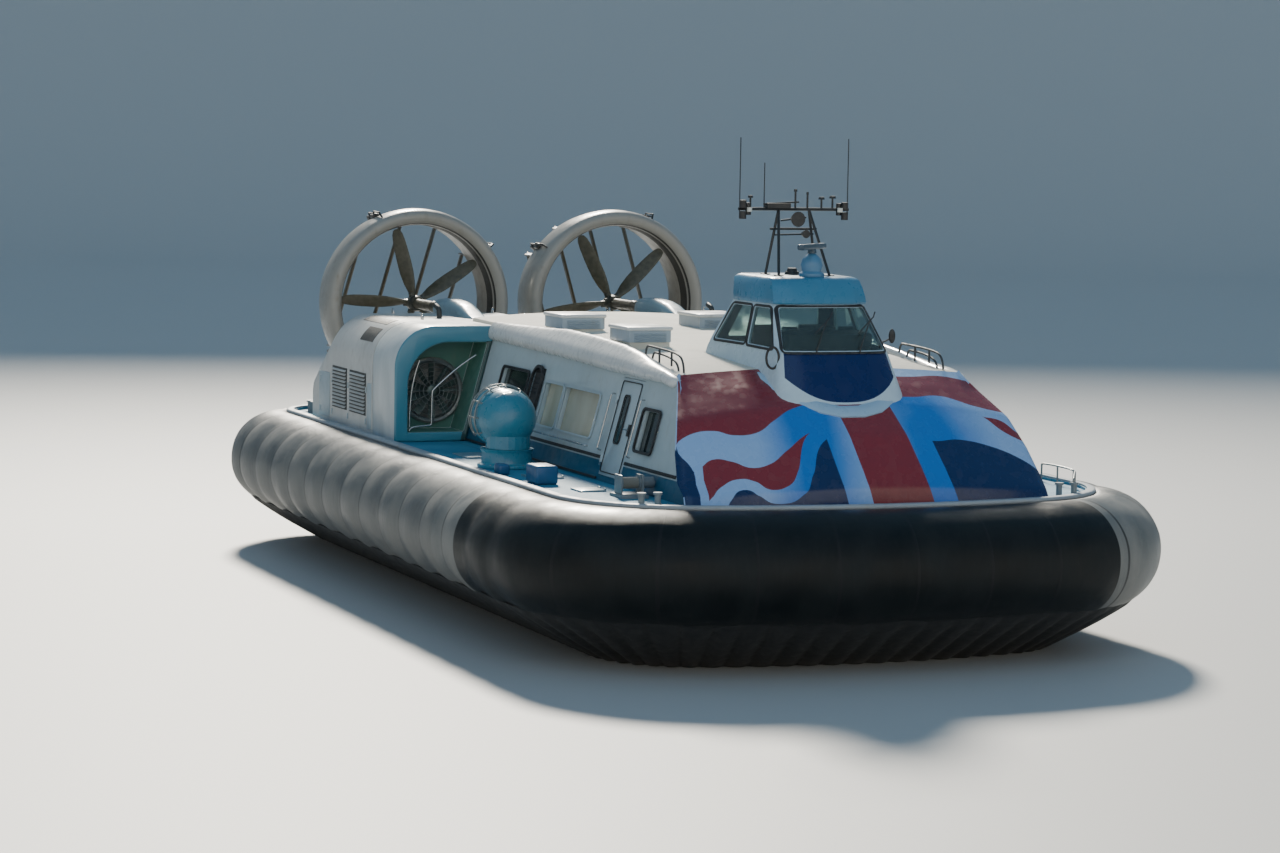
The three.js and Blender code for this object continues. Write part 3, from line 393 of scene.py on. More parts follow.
def deck_edge_place(point):
    """Where a point stands on the deck edge: its run from the bow, its distance outside, and outward."""
    hand = 1.0 if point.y >= 0 else -1.0
    x, y = point.x, abs(point.y)
    bow_angle = math.atan2(y, x - bow_centre.x)
    if bow_angle <= meet and x > corner_x:
        out = Vector((math.cos(bow_angle), math.sin(bow_angle)))
        run = BOW_RADIUS * bow_angle
        distance = math.hypot(x - bow_centre.x, y) - BOW_RADIUS
    elif x > corner_x:
        angle = math.atan2(y - corner_y, x - corner_x)
        out = Vector((math.cos(angle), math.sin(angle)))
        run = bow_run + BOW_CORNER * (angle - meet)
        distance = math.hypot(x - corner_x, y - corner_y) - BOW_CORNER
    elif x > stern_x:
        out = Vector((0, 1))
        run = corner_run + corner_x - x
        distance = y - HALF_BEAM
    elif y > stern_y:
        angle = math.atan2(y - stern_y, x - stern_x)
        out = Vector((math.cos(angle), math.sin(angle)))
        run = side_run + STERN_CORNER * (angle - math.pi / 2)
        distance = math.hypot(x - stern_x, y - stern_y) - STERN_CORNER
    else:
        out = Vector((-1, 0))
        run = stern_run + stern_y - y
        distance = STERN_X - x
    return run, distance, Vector((out.x, hand * out.y, 0)), hand


def mapped_along_edge(bm):
    """UV map on a skirt piece: the run along the deck edge, and the height."""
    layer = bm.loops.layers.uv.new("skirt")
    for face in bm.faces:
        for loop in face.loops:
            run, _, _, hand = deck_edge_place(loop.vert.co)
            loop[layer].uv = (hand * run, loop.vert.co.z)


def skirt_coordinates(tree):
    """The run and height of a skirt piece's own UV map."""
    own = tree.nodes.new("ShaderNodeUVMap")
    own.uv_map = "skirt"
    return own.outputs["UV"]


def bag_finish():
    """Black coated fabric: lapped seams, a fine weave, salt and bloom, with painted sheen in grey on the
    sides and a lighter painted sunlit sheen past the bow corners.
    """
    finish, tree, place = start_finish("bag_fabric", 0.5)
    shader = tree.nodes["Principled BSDF"]
    shader.inputs["Sheen Weight"].default_value = 0.03
    shader.inputs["Sheen Roughness"].default_value = 0.45
    shader.inputs["Specular IOR Level"].default_value = 0.24
    along = skirt_coordinates(tree)
    run = split(tree, along)[0]
    to_port = figure(tree, "GREATER_THAN", run, 0.0)
    run = figure(tree, "ABSOLUTE", run)
    seam = near_line(tree, run, LOBE, 0.022)
    shorter = BLACK_TO_PORT - BLACK_TO_STARBOARD
    # Past these runs the bag is painted grey as painted sheen, and its first stretch is painted lighter as
    # painted sunlit sheen.
    black_to = figure(tree, "MULTIPLY_ADD", to_port, shorter, BLACK_TO_STARBOARD)
    sheen_side = figure(tree, "GREATER_THAN", run, black_to)
    doubling_and_sunlight = figure(tree, "LESS_THAN", figure(tree, "SUBTRACT", run, black_to), SUNLIT_DOUBLING_WIDTH)
    doubling_and_sunlight = figure(tree, "MULTIPLY", doubling_and_sunlight, sheen_side)
    bloom = cloudy(tree, stretched(tree, place, (1.0, 1.0, 0.5)), 1.6, 0.35, 0.72, 8.0)
    salt = cloudy(tree, stretched(tree, place, (2.5, 2.5, 0.6)), 5.0, 0.5, 0.8, 10.0)
    salt = figure(tree, "MULTIPLY", salt, figure(tree, "MULTIPLY_ADD", sheen_side, 0.20, 0.012))
    black = blended(tree, bloom, (0.003, 0.0045, 0.005), (0.009, 0.012, 0.013))
    # Painted sheen: grey for the sides and lighter for the sunlit strip, on fabric that is black all round.
    grey = blended(tree, bloom, (0.11, 0.115, 0.115), (0.20, 0.20, 0.19))
    light = blended(tree, bloom, (0.13, 0.14, 0.14), (0.22, 0.22, 0.21))
    base = blended(tree, sheen_side, black, grey)
    base = blended(tree, doubling_and_sunlight, base, light)
    base = blended(tree, salt, base, (0.30, 0.30, 0.28))
    base = blended(tree, figure(tree, "MULTIPLY", seam, 0.75), base, (0.012, 0.012, 0.014))
    coloured(tree, base)
    rough_between(tree, bloom, 0.30, 0.55)
    weave = tree.nodes.new("ShaderNodeTexChecker")
    weave.inputs["Scale"].default_value = 160.0
    tree.links.new(along, weave.inputs["Vector"])
    raised(tree, (weave.outputs["Fac"], 0.0006), (seam, 0.006), (bloom, 0.008))
    return finish


def pinched(bm, depth, wrinkle):
    """Pulls the bag in at its laps and crumples it a little, least where it is clamped."""
    for vert in bm.verts:
        run, out, outward, _ = deck_edge_place(vert.co)
        arm = Vector((out - BAG_OUT, vert.co.z - BAG_Z))
        if arm.length < BAG_R - 0.02:
            continue
        slack = max(0.0, min(1.0, (arm.x / arm.length + 0.17) / 0.6))
        on_bow = max(0.0, min(1.0, (corner_run - run) / 1.5))
        valley = 1.0 - abs(math.sin(math.pi * run / LOBE))
        pull = depth * (1.0 - 0.8 * on_bow) * valley
        crumple = wrinkle * (
            0.5 + 0.5 * noise.noise(Vector((run * 0.9, vert.co.y * 0.4, vert.co.z * 2.2)))
        )
        move = arm.normalized() * (-(pull + crumple) * slack)
        vert.co += outward * move.x
        vert.co.z += move.y


bag_section = arc_points(BAG_OUT, BAG_Z, BAG_R, -100, 100, 40) + [(0.0, 2.79), (0.0, 2.5), (-0.95, 1.3)]
bag = swept_round_deck(bag_section, 0.145)
pinched(bag, 0.05, 0.02)
mapped_along_edge(bag)
bag_nodes = [f"skirt_bag_{run}" for run in ("bow", "port", "stern", "starboard")]
show("skirt_bag", bag, bag_finish(), sharp=50, replaces=bag_nodes)

# Clamp rail of the bag. Flat bars of grey alloy that pin the bag's bead to the rim, in lengths
# with a small gap, each held by a row of bolts.
RAIL_LENGTH = 1.31
rail_section = [(0.005, 2.71), (0.03, 2.715), (0.03, 2.775), (0.005, 2.78)]
rail = swept_round_deck(rail_section, 0.3)


def rail_finish():
    """Dull alloy with the ends of each bar and its bolts marked along the run."""
    finish, tree, place = start_finish("clamp_rail_alloy", 0.4, 0.9)
    run = split(tree, skirt_coordinates(tree))[0]
    gap = near_line(tree, run, RAIL_LENGTH, 0.01)
    bolts = near_line(tree, run, 0.16, 0.018)
    tone = blended(tree, cloudy(tree, place, 9.0, 0.3, 0.7), (0.25, 0.26, 0.26), (0.42, 0.42, 0.4))
    tone = blended(tree, bolts, tone, (0.12, 0.12, 0.12))
    coloured(tree, blended(tree, gap, tone, (0.02, 0.02, 0.02)))
    rough_between(tree, bolts, 0.35, 0.6)
    raised(tree, (bolts, 0.003), (cloudy(tree, place, 40.0, 0.2, 0.8), 0.001))
    return finish


mapped_along_edge(rail)
show("bag_clamp_rail", rail, rail_finish())

# Fingers. Open scoops of the same fabric hung side by side below the bag, laced to it at the top.
# Each one is blown out into a half round and wears pale along its hem.
FINGER_PITCH = 0.46
FINGER_BULGE = 0.13
FINGER_THICK = 0.014
finger_face = [
    (0.80, 0.97), (0.70, 0.86), (0.50, 0.72), (0.25, 0.56), (0.0, 0.41), (-0.25, 0.27), (-0.5, 0.13),
    (-0.74, 0.0),
]


def finger_finish():
    """Matt black fabric, scuffed pale at the hem, with painted shade darkening the folds between fingers."""
    finish, tree, place = start_finish("finger_fabric", 0.75)
    tree.nodes["Principled BSDF"].inputs["Sheen Weight"].default_value = 0.05
    run, height, _ = split(tree, skirt_coordinates(tree))
    fold = near_line(tree, run, FINGER_PITCH, 0.03)
    low = figure(tree, "SUBTRACT", 0.22, height)
    wear = cloudy(tree, place, 7.0, 0.35, 0.7, 8.0)
    scuff = figure(tree, "MULTIPLY", figure(tree, "MAXIMUM", low, 0.0), 3.0)
    scuff = figure(tree, "MULTIPLY", scuff, wear)
    base = blended(tree, wear, (0.005, 0.006, 0.007), (0.018, 0.019, 0.020))
    base = blended(tree, scuff, base, (0.09, 0.08, 0.068))
    # Painted shade in the folds between fingers.
    base = blended(tree, figure(tree, "MULTIPLY", fold, 0.7), base, (0.006, 0.006, 0.006))
    coloured(tree, base)
    rough_between(tree, wear, 0.6, 0.9)
    raised(tree, (wear, 0.004), (cloudy(tree, place, 180.0, 0.3, 0.7, 2.0), 0.0006))
    return finish


def swept_open_round_deck(section, step):
    """A section carried round the deck edge and left open on the side that closes it."""
    bm = swept_round_deck(section, step)
    top = section[0][1] - 0.01
    foot = section[-1][1] + 0.01
    lids = []
    for face in bm.faces:
        heights = [v.co.z for v in face.verts]
        if max(heights) > top and min(heights) < foot:
            lids.append(face)
    bmesh.ops.delete(bm, geom=lids, context="FACES")
    return bm


fingers = swept_open_round_deck(finger_face, FINGER_PITCH / 8)
for vert in fingers.verts:
    run, out, outward, _ = deck_edge_place(vert.co)
    drop = (finger_face[0][1] - vert.co.z) / finger_face[0][1]
    round_out = abs(math.sin(math.pi * run / FINGER_PITCH)) - 1.0
    vert.co += outward * (FINGER_BULGE * round_out * min(1.0, 3.0 * drop))
bmesh.ops.recalc_face_normals(fingers, faces=fingers.faces)
bmesh.ops.solidify(fingers, geom=fingers.faces[:], thickness=FINGER_THICK)
for vert in fingers.verts:
    vert.co.z = max(vert.co.z, 0.0)
mapped_along_edge(fingers)
finger_nodes = [f"skirt_fingers_{run}" for run in ("bow", "port", "stern", "starboard")]
show("skirt_fingers", fingers, finger_finish(), sharp=60, replaces=finger_nodes)

# Landing skids. Two welded box keels below the hull that carry the craft when the air is off.
# They are painted dark as the hull's sides are, with brown stains.
repaint(
    plate_paint("skid_paint", (0.05, 0.065, 0.08), 0.6, stain=(0.20, 0.12, 0.07), dirt=0.7),
    "landing_skid_port",
    "landing_skid_starboard",
)

# Cabin sides and doors. Leaning walls of glassed foam panels in pale blue-white paint, coloured darker
# and bluer as painted shade, with a dark blue band along the foot. Each wall has a hinged door, and
# windows bonded behind black rubber surrounds.
CABIN_FOOT_Y = 3.33
CABIN_LEAN = 0.27
lean = math.atan(CABIN_LEAN)
SIDES = (("port", 1), ("starboard", -1))
WINDOWS = (
    # aft x, fore x, bottom and top up the wall
    (-1.25, 0.30, 0.90, 1.64),
    (6.70, 7.50, 0.72, 1.45),
)
AMBER_PANES = (
    (1.35, 2.40, 0.72, 1.54),
    (2.50, 4.40, 0.72, 1.54),
)
DOOR_LIGHT = (5.62, 5.84, 0.75, 1.62)
AFT_WINDOW = (-1.31, 0.36, 0.84, 1.70)
RAIL_UP = 0.56
UPRIGHT_BENDS = (
    # up the wall, out of it
    (0.55, 0),
    (0.55, 0.08),
    (0.62, 0.08),
    (1.55, 0.08),
    (1.62, 0.08),
    (1.62, 0),
)
LEVEL_BENDS = (
    # along the wall, out of it
    (1.4, 0),
    (1.4, 0.07),
    (1.5, 0.07),
    (4.25, 0.07),
    (4.35, 0.07),
    (4.35, 0),
)


def cabin_y(z):
    """Half width of the cabin at a height."""
    return CABIN_FOOT_Y - CABIN_LEAN * (z - DECK_Z)


def laid_on_wall(bm, hand):
    """Turns a shape drawn with Y out of the wall and Z up it onto the leaning wall of one side."""
    place = Matrix.Translation((0, CABIN_FOOT_Y, DECK_Z)) @ Matrix.Rotation(lean, 4, "X")
    bmesh.ops.transform(bm, matrix=Matrix.Scale(hand, 4, (0, 1, 0)) @ place, verts=bm.verts)
    return bm


def rounded_pane(bm, aft, fore, low, high, out, corner):
    """A flat pane with rounded corners, facing out of the wall, and its one face."""
    corners = [(aft, out, low), (fore, out, low), (fore, out, high), (aft, out, high)]
    face = bm.faces.new([bm.verts.new(c) for c in corners])
    rounded = bmesh.ops.bevel(
        bm, geom=face.verts[:], offset=corner, segments=5, profile=0.5, affect="VERTICES", material=-1
    )
    return rounded["faces"][0] if rounded["faces"] else bm.faces[:][-1]


def surround(bm, aft, fore, low, high, width, out, depth, corner=0.07):
    """A raised rubber surround round a window."""
    before = set(bm.faces)
    rounded_pane(bm, aft - width, fore + width, low - width, high + width, out, corner + width)
    face = next(f for f in bm.faces if f not in before)
    bmesh.ops.inset_region(bm, faces=[face], thickness=width, use_boundary=True)
    bmesh.ops.delete(bm, geom=[face], context="FACES_ONLY")
    ring = [f for f in bm.faces if f not in before]
    bmesh.ops.solidify(bm, geom=ring, thickness=depth)


def rounded_over(bm, width, fold, segments, flat):
    """Merges doubles and flat faces, then rounds each edge that folds by more than an angle."""
    bmesh.ops.remove_doubles(bm, verts=bm.verts, dist=0.0003)
    bmesh.ops.dissolve_limit(bm, angle_limit=math.radians(flat), verts=bm.verts, edges=bm.edges)
    folded = [e for e in bm.edges if e.is_manifold and e.calc_face_angle() > math.radians(fold)]
    bmesh.ops.bevel(
        bm, geom=folded, offset=width, segments=segments, profile=0.5, affect="EDGES",
        clamp_overlap=True, material=-1,
    )
    return bm


def softened(name, node, finish, width, body="craft", sharp=30.0):
    """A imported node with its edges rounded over, standing for that node."""
    bm = bmesh.new()
    bm.from_mesh(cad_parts[node].data)
    return show(name, rounded_over(bm, width, sharp, 2, 0.5), finish, body, 40.0, (node,))


def turned(bm, angle, axis, verts=None):
    """Turns some vertices, or a whole shape, about an axis through the origin."""
    matrix = Matrix.Rotation(angle, 3, axis)
    bmesh.ops.rotate(bm, verts=verts or bm.verts, cent=(0, 0, 0), matrix=matrix)


def block(bm, size, place, turn=None):
    """Adds a box, turned by an (angle, axis) pair and put in its place, and returns its corners."""
    verts = bmesh.ops.create_cube(bm, size=1.0)["verts"]
    bmesh.ops.scale(bm, verts=verts, vec=size)
    if turn:
        turned(bm, *turn, verts)
    bmesh.ops.translate(bm, verts=verts, vec=place)
    return verts


def eased(bm, width, segments):
    """Rounds over every edge of a shape."""
    bmesh.ops.bevel(
        bm, geom=bm.edges[:], offset=width, segments=segments, profile=0.5, affect="EDGES", material=-1
    )


def thickened(bm, thickness):
    """Gives all the faces of a sheet a thickness."""
    bmesh.ops.solidify(bm, geom=bm.faces[:], thickness=thickness)
    return bm


def dark_pane_finish(name, colour, back):
    """Tinted glazing with a faint drift of tone and dried rain on it."""
    finish, tree, place = start_finish(name, 0.06, 0.0, 0.3)
    haze = cloudy(tree, stretched(tree, place, (1.0, 1.0, 0.4)), 3.0, 0.35, 0.75, 7.0)
    coloured(tree, blended(tree, haze, colour, back))
    rough_between(tree, haze, 0.05, 0.22)
    raised(tree, (cloudy(tree, place, 1.2, 0.2, 0.8, 2.0), 0.004))
    return finish


def rubber_finish(name, colour=(0.015, 0.015, 0.016)):
    """Black rubber or plastic, a little dusty and unevenly worn."""
    finish, tree, place = start_finish(name, 0.6)
    dust = cloudy(tree, place, 14.0, 0.4, 0.75, 8.0)
    coloured(tree, blended(tree, dust, colour, tuple(c + 0.05 for c in colour)))
    rough_between(tree, dust, 0.45, 0.8)
    raised(tree, (cloudy(tree, place, 90.0, 0.3, 0.7, 3.0), 0.0007))
    return finish


def tubes(name, paths, radius, finish, body="craft", smooth=True, sides=3):
    """Bent tubes along lists of points, joined as one piece."""
    curve = bpy.data.curves.new(name + "_line", "CURVE")
    curve.dimensions = "3D"
    curve.bevel_depth = radius
    curve.bevel_resolution = sides
    curve.resolution_u = 6
    curve.use_fill_caps = True
    for path in paths:
        spline = curve.splines.new("NURBS" if smooth and len(path) > 2 else "POLY")
        spline.points.add(len(path) - 1)
        for point, co in zip(spline.points, path):
            point.co = (*co, 1.0)
        if spline.type == "NURBS":
            spline.order_u = 3
            spline.use_endpoint_u = True
    line = bpy.data.objects.new(name + "_line", curve)
    bpy.context.scene.collection.objects.link(line)
    bpy.context.view_layer.update()
    bm = bmesh.new()
    bm.from_mesh(line.evaluated_get(bpy.context.evaluated_depsgraph_get()).to_mesh())
    bpy.data.objects.remove(line)
    return show(name, bm, finish, body, 50.0)


# The walls, doors and their trim are coloured darker and bluer than their pale paint, as painted shade.
cream = plate_paint(
    "cabin_cream_painted_shade", (0.47, 0.56, 0.60), 0.38, dirt=0.22, low=((0.012, 0.09, 0.17), DECK_Z + 0.36)
)
door_cream_painted_shade = plate_paint("door_cream_painted_shade", (0.44, 0.53, 0.58), 0.4, dirt=0.25)
window_rubber = rubber_finish("window_rubber")
# The amber panes are opaque and coloured pale over their amber tint, as painted daylight coming through from
# the far side of the cabin.
backlit_amber = dark_pane_finish("amber_panes", (0.42, 0.40, 0.30), (0.50, 0.48, 0.38))
tinted = dark_pane_finish("tinted_panes", (0.012, 0.02, 0.022), (0.03, 0.045, 0.04))
bright_steel = plate_paint(
    "bright_steel", (0.55, 0.56, 0.57), 0.25, stain=(0.2, 0.15, 0.1), dirt=0.2, metallic=0.9
)

for side, hand in SIDES:
    softened(f"cabin_wall_{side}", f"cabin_side_{side}", cream, 0.012)
    softened(
        f"door_leaf_{side}", f"cabin_door_{side}", door_cream_painted_shade, 0.01, f"cabin_door_{side}"
    )
    repaint(backlit_amber, f"cabin_windows_{side}")
    repaint(tinted, f"cabin_fore_window_{side}")

    rubber = bmesh.new()
    for aft, fore, low, high in WINDOWS:
        surround(rubber, aft, fore, low, high, 0.055, 0.018, 0.03)
    show(f"window_surrounds_{side}", laid_on_wall(rubber, hand), window_rubber)
    moulding = bmesh.new()
    for aft, fore, low, high in AMBER_PANES:
        surround(moulding, aft, fore, low, high, 0.035, 0.016, 0.026)
    show(f"amber_pane_mouldings_{side}", laid_on_wall(moulding, hand), door_cream_painted_shade)

    dark = bmesh.new()
    rounded_pane(dark, *AFT_WINDOW, -0.07, 0.1)
    show(
        f"aft_window_tint_{side}", laid_on_wall(thickened(dark, 0.008), hand), tinted
    )

    # Oval vent of the air conditioning between the windows, with a slatted face.
    vent = bmesh.new()
    surround(vent, 0.62, 1.12, 0.78, 1.78, 0.06, 0.03, 0.05, corner=0.22)
    for slat in range(9):
        block(vent, (0.50, 0.035, 0.012), (0.87, 0.012, 0.88 + 0.1 * slat), (0.6, "X"))
    block(vent, (0.52, 0.01, 1.02), (0.87, 0.002, 1.28))
    show(f"side_vent_{side}", laid_on_wall(vent, hand), window_rubber)

    # Narrow light, seal, handle and handle plate on the door leaf.
    light = bmesh.new()
    rounded_pane(light, *DOOR_LIGHT, 0.008, 0.06)
    thickened(light, 0.006)
    show(f"door_light_{side}", laid_on_wall(light, hand), tinted, f"cabin_door_{side}")
    trim = bmesh.new()
    surround(trim, *DOOR_LIGHT, 0.03, 0.016, 0.016, corner=0.05)
    surround(trim, 5.33, 6.27, 0.19, 1.88, 0.02, 0.012, 0.012, corner=0.05)
    block(trim, (0.09, 0.03, 0.22), (6.19, 0.015, 1.02))
    show(
        f"door_trim_{side}", laid_on_wall(trim, hand), window_rubber, f"cabin_door_{side}"
    )

    def on_wall(x, up, out):
        y = CABIN_FOOT_Y + out * math.cos(lean) - up * math.sin(lean)
        return (x, hand * y, DECK_Z + out * math.sin(lean) + up * math.cos(lean))

    handle = [[on_wall(x, 1.02, out) for x, out in ((6.16, 0.02), (6.16, 0.06), (6.02, 0.06))]]
    tubes(
        f"door_handle_{side}", handle, 0.011, bright_steel, f"cabin_door_{side}",
        smooth=False,
    )
    grips = [[on_wall(x, up, out) for up, out in UPRIGHT_BENDS] for x in (5.06, 6.55)]
    grips.append([on_wall(x, RAIL_UP, out) for x, out in LEVEL_BENDS])
    tubes(f"side_grab_rails_{side}", grips, 0.016, bright_steel)

    # Rubber fender strip and step plate along the foot of the wall.
    foot = bmesh.new()
    for low, high, out in ((0.40, 0.46, 0.03), (0.02, 0.06, 0.035)):
        block(foot, (9.1, out, high - low), (0.65, out / 2, (low + high) / 2))
    block(foot, (2.5, 0.03, 0.06), (7.65, 0.015, 0.43))
    eased(foot, 0.008, 2)
    show(f"wall_foot_strips_{side}", laid_on_wall(foot, hand), window_rubber)

repaint(plate_paint("bulkhead_paint", (0.60, 0.61, 0.60), 0.45, dirt=0.5), "cabin_aft_bulkhead")

# Roof shoulders. Rounded mouldings of glassed foam that lap the roof's edge over the top of each
# wall and run on down beside the front slope. They are bonded on and faired in.
ROOF_EDGE = (
    # x, height of the roof's edge, size out of the wall, along it, and of the crown above the edge
    (-2.39, 5.212, 1.0, 1.0, 0.3),
    (-1.50, 5.20, 1.0, 1.0, 0.9),
    (0.0, 5.18, 1.0, 1.0, 1.8),
    (1.50, 5.16, 1.0, 1.0, 2.8),
    (3.10, 5.13, 1.0, 1.0, 2.9),
    (4.70, 5.09, 1.0, 1.0, 2.6),
    (5.60, 5.045, 0.97, 0.88, 2.2),
    (6.20, 5.00, 0.95, 0.80, 1.7),
    (6.80, 4.965, 0.92, 0.69, 1.0),
    (7.30, 4.93, 0.90, 0.60, 0.6),
    (7.60, 4.885, 0.85, 0.58, 0.5),
    (7.75, 4.85, 0.70, 0.52, 1.0),
    (7.84, 4.81, 0.42, 0.36, 1.0),
    (7.87, 4.79, 0.12, 0.12, 1.0),
)
SHOULDER = (
    # out of the wall, up it from the roof's edge
    (-0.04, -0.366),
    (0.06, -0.366),
    (0.105, -0.335),
    (0.138, -0.275),
    (0.148, -0.20),
    (0.142, -0.125),
    (0.118, -0.055),
    (0.07, 0.0),
    (0.02, 0.033),
    (-0.04, 0.058),
    (-0.10, 0.070),
    (-0.165, 0.066),
    (-0.21, 0.040),
    (-0.215, 0.0),
    (-0.10, -0.12),
)


def lofted(bm, rings):
    """Skins over closed rings of edges in turn and closes both ends."""
    for near, far in zip(rings, rings[1:]):
        bmesh.ops.bridge_loops(bm, edges=near + far)
    bmesh.ops.holes_fill(bm, edges=rings[0] + rings[-1], sides=0)
    bmesh.ops.recalc_face_normals(bm, faces=bm.faces)


def swept(bm, section, stations):
    """A section drawn in X and Y carried through a list of placing matrices, its ends closed."""
    edges = joined_edges(bm, [stations[0] @ Vector((x, y, 0)) for x, y in section], True)
    first = edges
    for here, there in zip(stations, stations[1:]):
        grown = bmesh.ops.extrude_edge_only(bm, edges=edges)["geom"]
        edges = [g for g in grown if isinstance(g, bmesh.types.BMEdge)]
        verts = [g for g in grown if isinstance(g, bmesh.types.BMVert)]
        bmesh.ops.transform(bm, matrix=there @ here.inverted(), verts=verts)
    bmesh.ops.holes_fill(bm, edges=first + edges, sides=0)


def path_stations(points, right, sizes):
    """Placing matrices along a path, X kept close to a direction, each with its size."""
    stations = []
    for i, point in enumerate(points):
        along = (points[min(i + 1, len(points) - 1)] - points[max(i - 1, 0)]).normalized()
        across = (right - along * right.dot(along)).normalized()
        up = along.cross(across)
        turn = Matrix((across, up, along)).transposed().to_4x4()
        stations.append(Matrix.Translation(point) @ turn @ Matrix.Diagonal((*sizes[i], 1, 1)))
    return stations


shoulder_paint = plate_paint("shoulder_white", (0.74, 0.75, 0.74), 0.32, dirt=0.08, coat=0.2)
for side, hand in SIDES:
    out = Vector((0, math.cos(lean), math.sin(lean)))
    points = [Vector((x, cabin_y(z), z)) for x, z, *_ in ROOF_EDGE]
    sizes = [(out_size, up_size) for _, _, out_size, up_size, _ in ROOF_EDGE]
    shoulder = bmesh.new()
    rings = []
    for stand, (*_, crown) in zip(path_stations(points, out, sizes), ROOF_EDGE):
        section = [Vector((x, y * (crown if y > 0 else 1.0), 0)) for x, y in SHOULDER]
        rings.append(joined_edges(shoulder, [stand @ place for place in section], True))
    lofted(shoulder, rings)
    bmesh.ops.scale(shoulder, verts=shoulder.verts, vec=(1, hand, 1))
    bmesh.ops.recalc_face_normals(shoulder, faces=shoulder.faces)
    show(f"roof_shoulder_skin_{side}", shoulder, shoulder_paint,
         replaces=(f"roof_shoulder_{side}",), sharp=50)

# Cabin roof. One crowned foam panel with a sanded non-slip top, and three air units bolted on it.
# Each unit has a white lid over a louvred grey-blue case.
ROOF_UNITS = (
    # x, y, length, width, top
    (0.3, -2.0, 1.0, 0.85, 5.52),
    (3.9, -2.0, 1.0, 0.80, 5.50),
    (0.3, 0.9, 1.1, 0.90, 5.52),
)


def roof_finish():
    """Sanded cream top with worn patches and darker joints every two metres."""
    finish, tree, place = start_finish("roof_sanded_cream", 0.7)
    sand = cloudy(tree, place, 160.0, 0.35, 0.65, 3.0)
    worn = cloudy(tree, place, 0.9, 0.35, 0.7, 9.0)
    x = split(tree, place)[0]
    joint = near_line(tree, x, 2.0, 0.01)
    base = blended(tree, worn, (0.62, 0.585, 0.50), (0.72, 0.69, 0.61))
    base = blended(tree, figure(tree, "MULTIPLY", joint, 0.5), base, (0.30, 0.28, 0.24))
    coloured(tree, base)
    rough_between(tree, sand, 0.6, 0.9)
    raised(tree, (sand, 0.0015), (joint, 0.003))
    return finish


softened("roof_panel", "cabin_roof", roof_finish(), 0.02)
unit_case = plate_paint("unit_case_grey", (0.36, 0.44, 0.52), 0.4, dirt=0.4)
unit_lid = plate_paint("unit_lid_white", (0.75, 0.76, 0.76), 0.35, dirt=0.3)
cases = bmesh.new()
lids = bmesh.new()
for x, y, length, width, top in ROOF_UNITS:
    block(cases, (length + 0.03, width + 0.03, 0.22), (x, y, top - 0.13))
    for row in range(5):
        for face_x in (x - length / 2 - 0.02, x + length / 2 + 0.02):
            block(cases, (0.03, width * 0.8, 0.012), (face_x, y, top - 0.22 + 0.035 * row), (0.5, "Y"))
    lid = block(lids, (length + 0.10, width + 0.10, 0.07), (x, y, top + 0.012))
    edges = list({e for v in lid for e in v.link_edges})
    bmesh.ops.bevel(lids, geom=edges, offset=0.03, segments=3, profile=0.5, affect="EDGES", material=-1)
show("roof_unit_cases", cases, unit_case)
show("roof_unit_lids", lids, unit_lid)

# Roof hoops. Low rails of bent tube at both edges of the roof behind the front slope, for the crew
# to hold when they clean the windscreen. Two hoops stand at each edge, with two short posts beside them.
HOOP_Y = 2.55
HOOP_FOOT = 5.02
hoops = []
for _, hand in SIDES:
    for near, far, rise in ((5.60, 7.50, 0.27), (5.95, 7.25, 0.17)):
        ahead = ((far - 0.45, rise - 0.03), (far - 0.02, rise - 0.12), (far, -0.1))
        line = ((near, 0.0), (near + 0.02, rise), (near + 0.3, rise), *ahead)
        hoops.append([(x, hand * HOOP_Y, HOOP_FOOT + up) for x, up in line])
    for x in (6.3, 6.9):
        hoops.append([(x, hand * HOOP_Y, z) for z in (5.0, 5.26)])
tubes("roof_hoops", hoops, 0.02, rubber_finish("hoop_paint", (0.03, 0.035, 0.04)))

# Front slope. A curved shell of glassed foam from the roof's edge down to the fore deck, painted
# with a waving national flag of red, white and dark blue, and faired round the wheelhouse's foot.
SLOPE_ROWS = (
    # centre x, centre z, edge x, edge z, how far the edge stands out from the cabin's side
    (7.7104, 5.02, 7.7104, 4.90, 0.0),
    (8.33, 4.79, 8.25, 4.56, 0.11),
    (8.94, 4.46, 8.90, 4.17, 0.26),
    (9.50, 3.96, 9.33, 3.65, 0.30),
    (9.90, 3.42, 9.68, 3.20, 0.27),
    (10.06, 3.08, 9.92, 3.00, 0.20),
    (10.08, 2.8004, 10.03, 2.8004, 0.16),
)
SLOPE_THICK = 0.06
EDGE_ROLL = 0.12


def slope_point(u, t):
    """A point of the slope: u across from -1 at starboard to 1 at port, t down it from 0 to 1.

    Past 1 the surface rolls round and runs back to the cabin's side.
    """
    place = t * (len(SLOPE_ROWS) - 1)
    row = min(int(place), len(SLOPE_ROWS) - 2)
    cx, cz, ex, ez, wide = (
        a + (b - a) * (place - row) for a, b in zip(SLOPE_ROWS[row], SLOPE_ROWS[row + 1])
    )
    held = max(-1.0, min(1.0, u))
    x = cx + (ex - cx) * held * held
    z = cz + (ez - cz) * held * held
    y = held * (cabin_y(z) + wide)
    rolled = min(1.0, (abs(u) - abs(held)) / EDGE_ROLL)
    if rolled > 0:
        x -= wide * (2 * rolled * (1 - rolled) * 0.75 + rolled * rolled * 1.1)
        y -= math.copysign(wide * rolled * rolled, u)
    return Vector((x, y, z))


def curve_edge(tree, across, points):
    """A flag edge: how far down it lies at each place across, both from 0 to 1."""
    node = tree.nodes.new("ShaderNodeFloatCurve")
    line = node.mapping.curves[0]
    for _ in range(len(points) - 2):
        line.points.new(0.5, 0.5)
    for point, (x, y) in zip(line.points, points):
        point.location = (x, y)
    node.mapping.update()
    tree.links.new(across, node.inputs["Value"])
    return node.outputs["Value"]


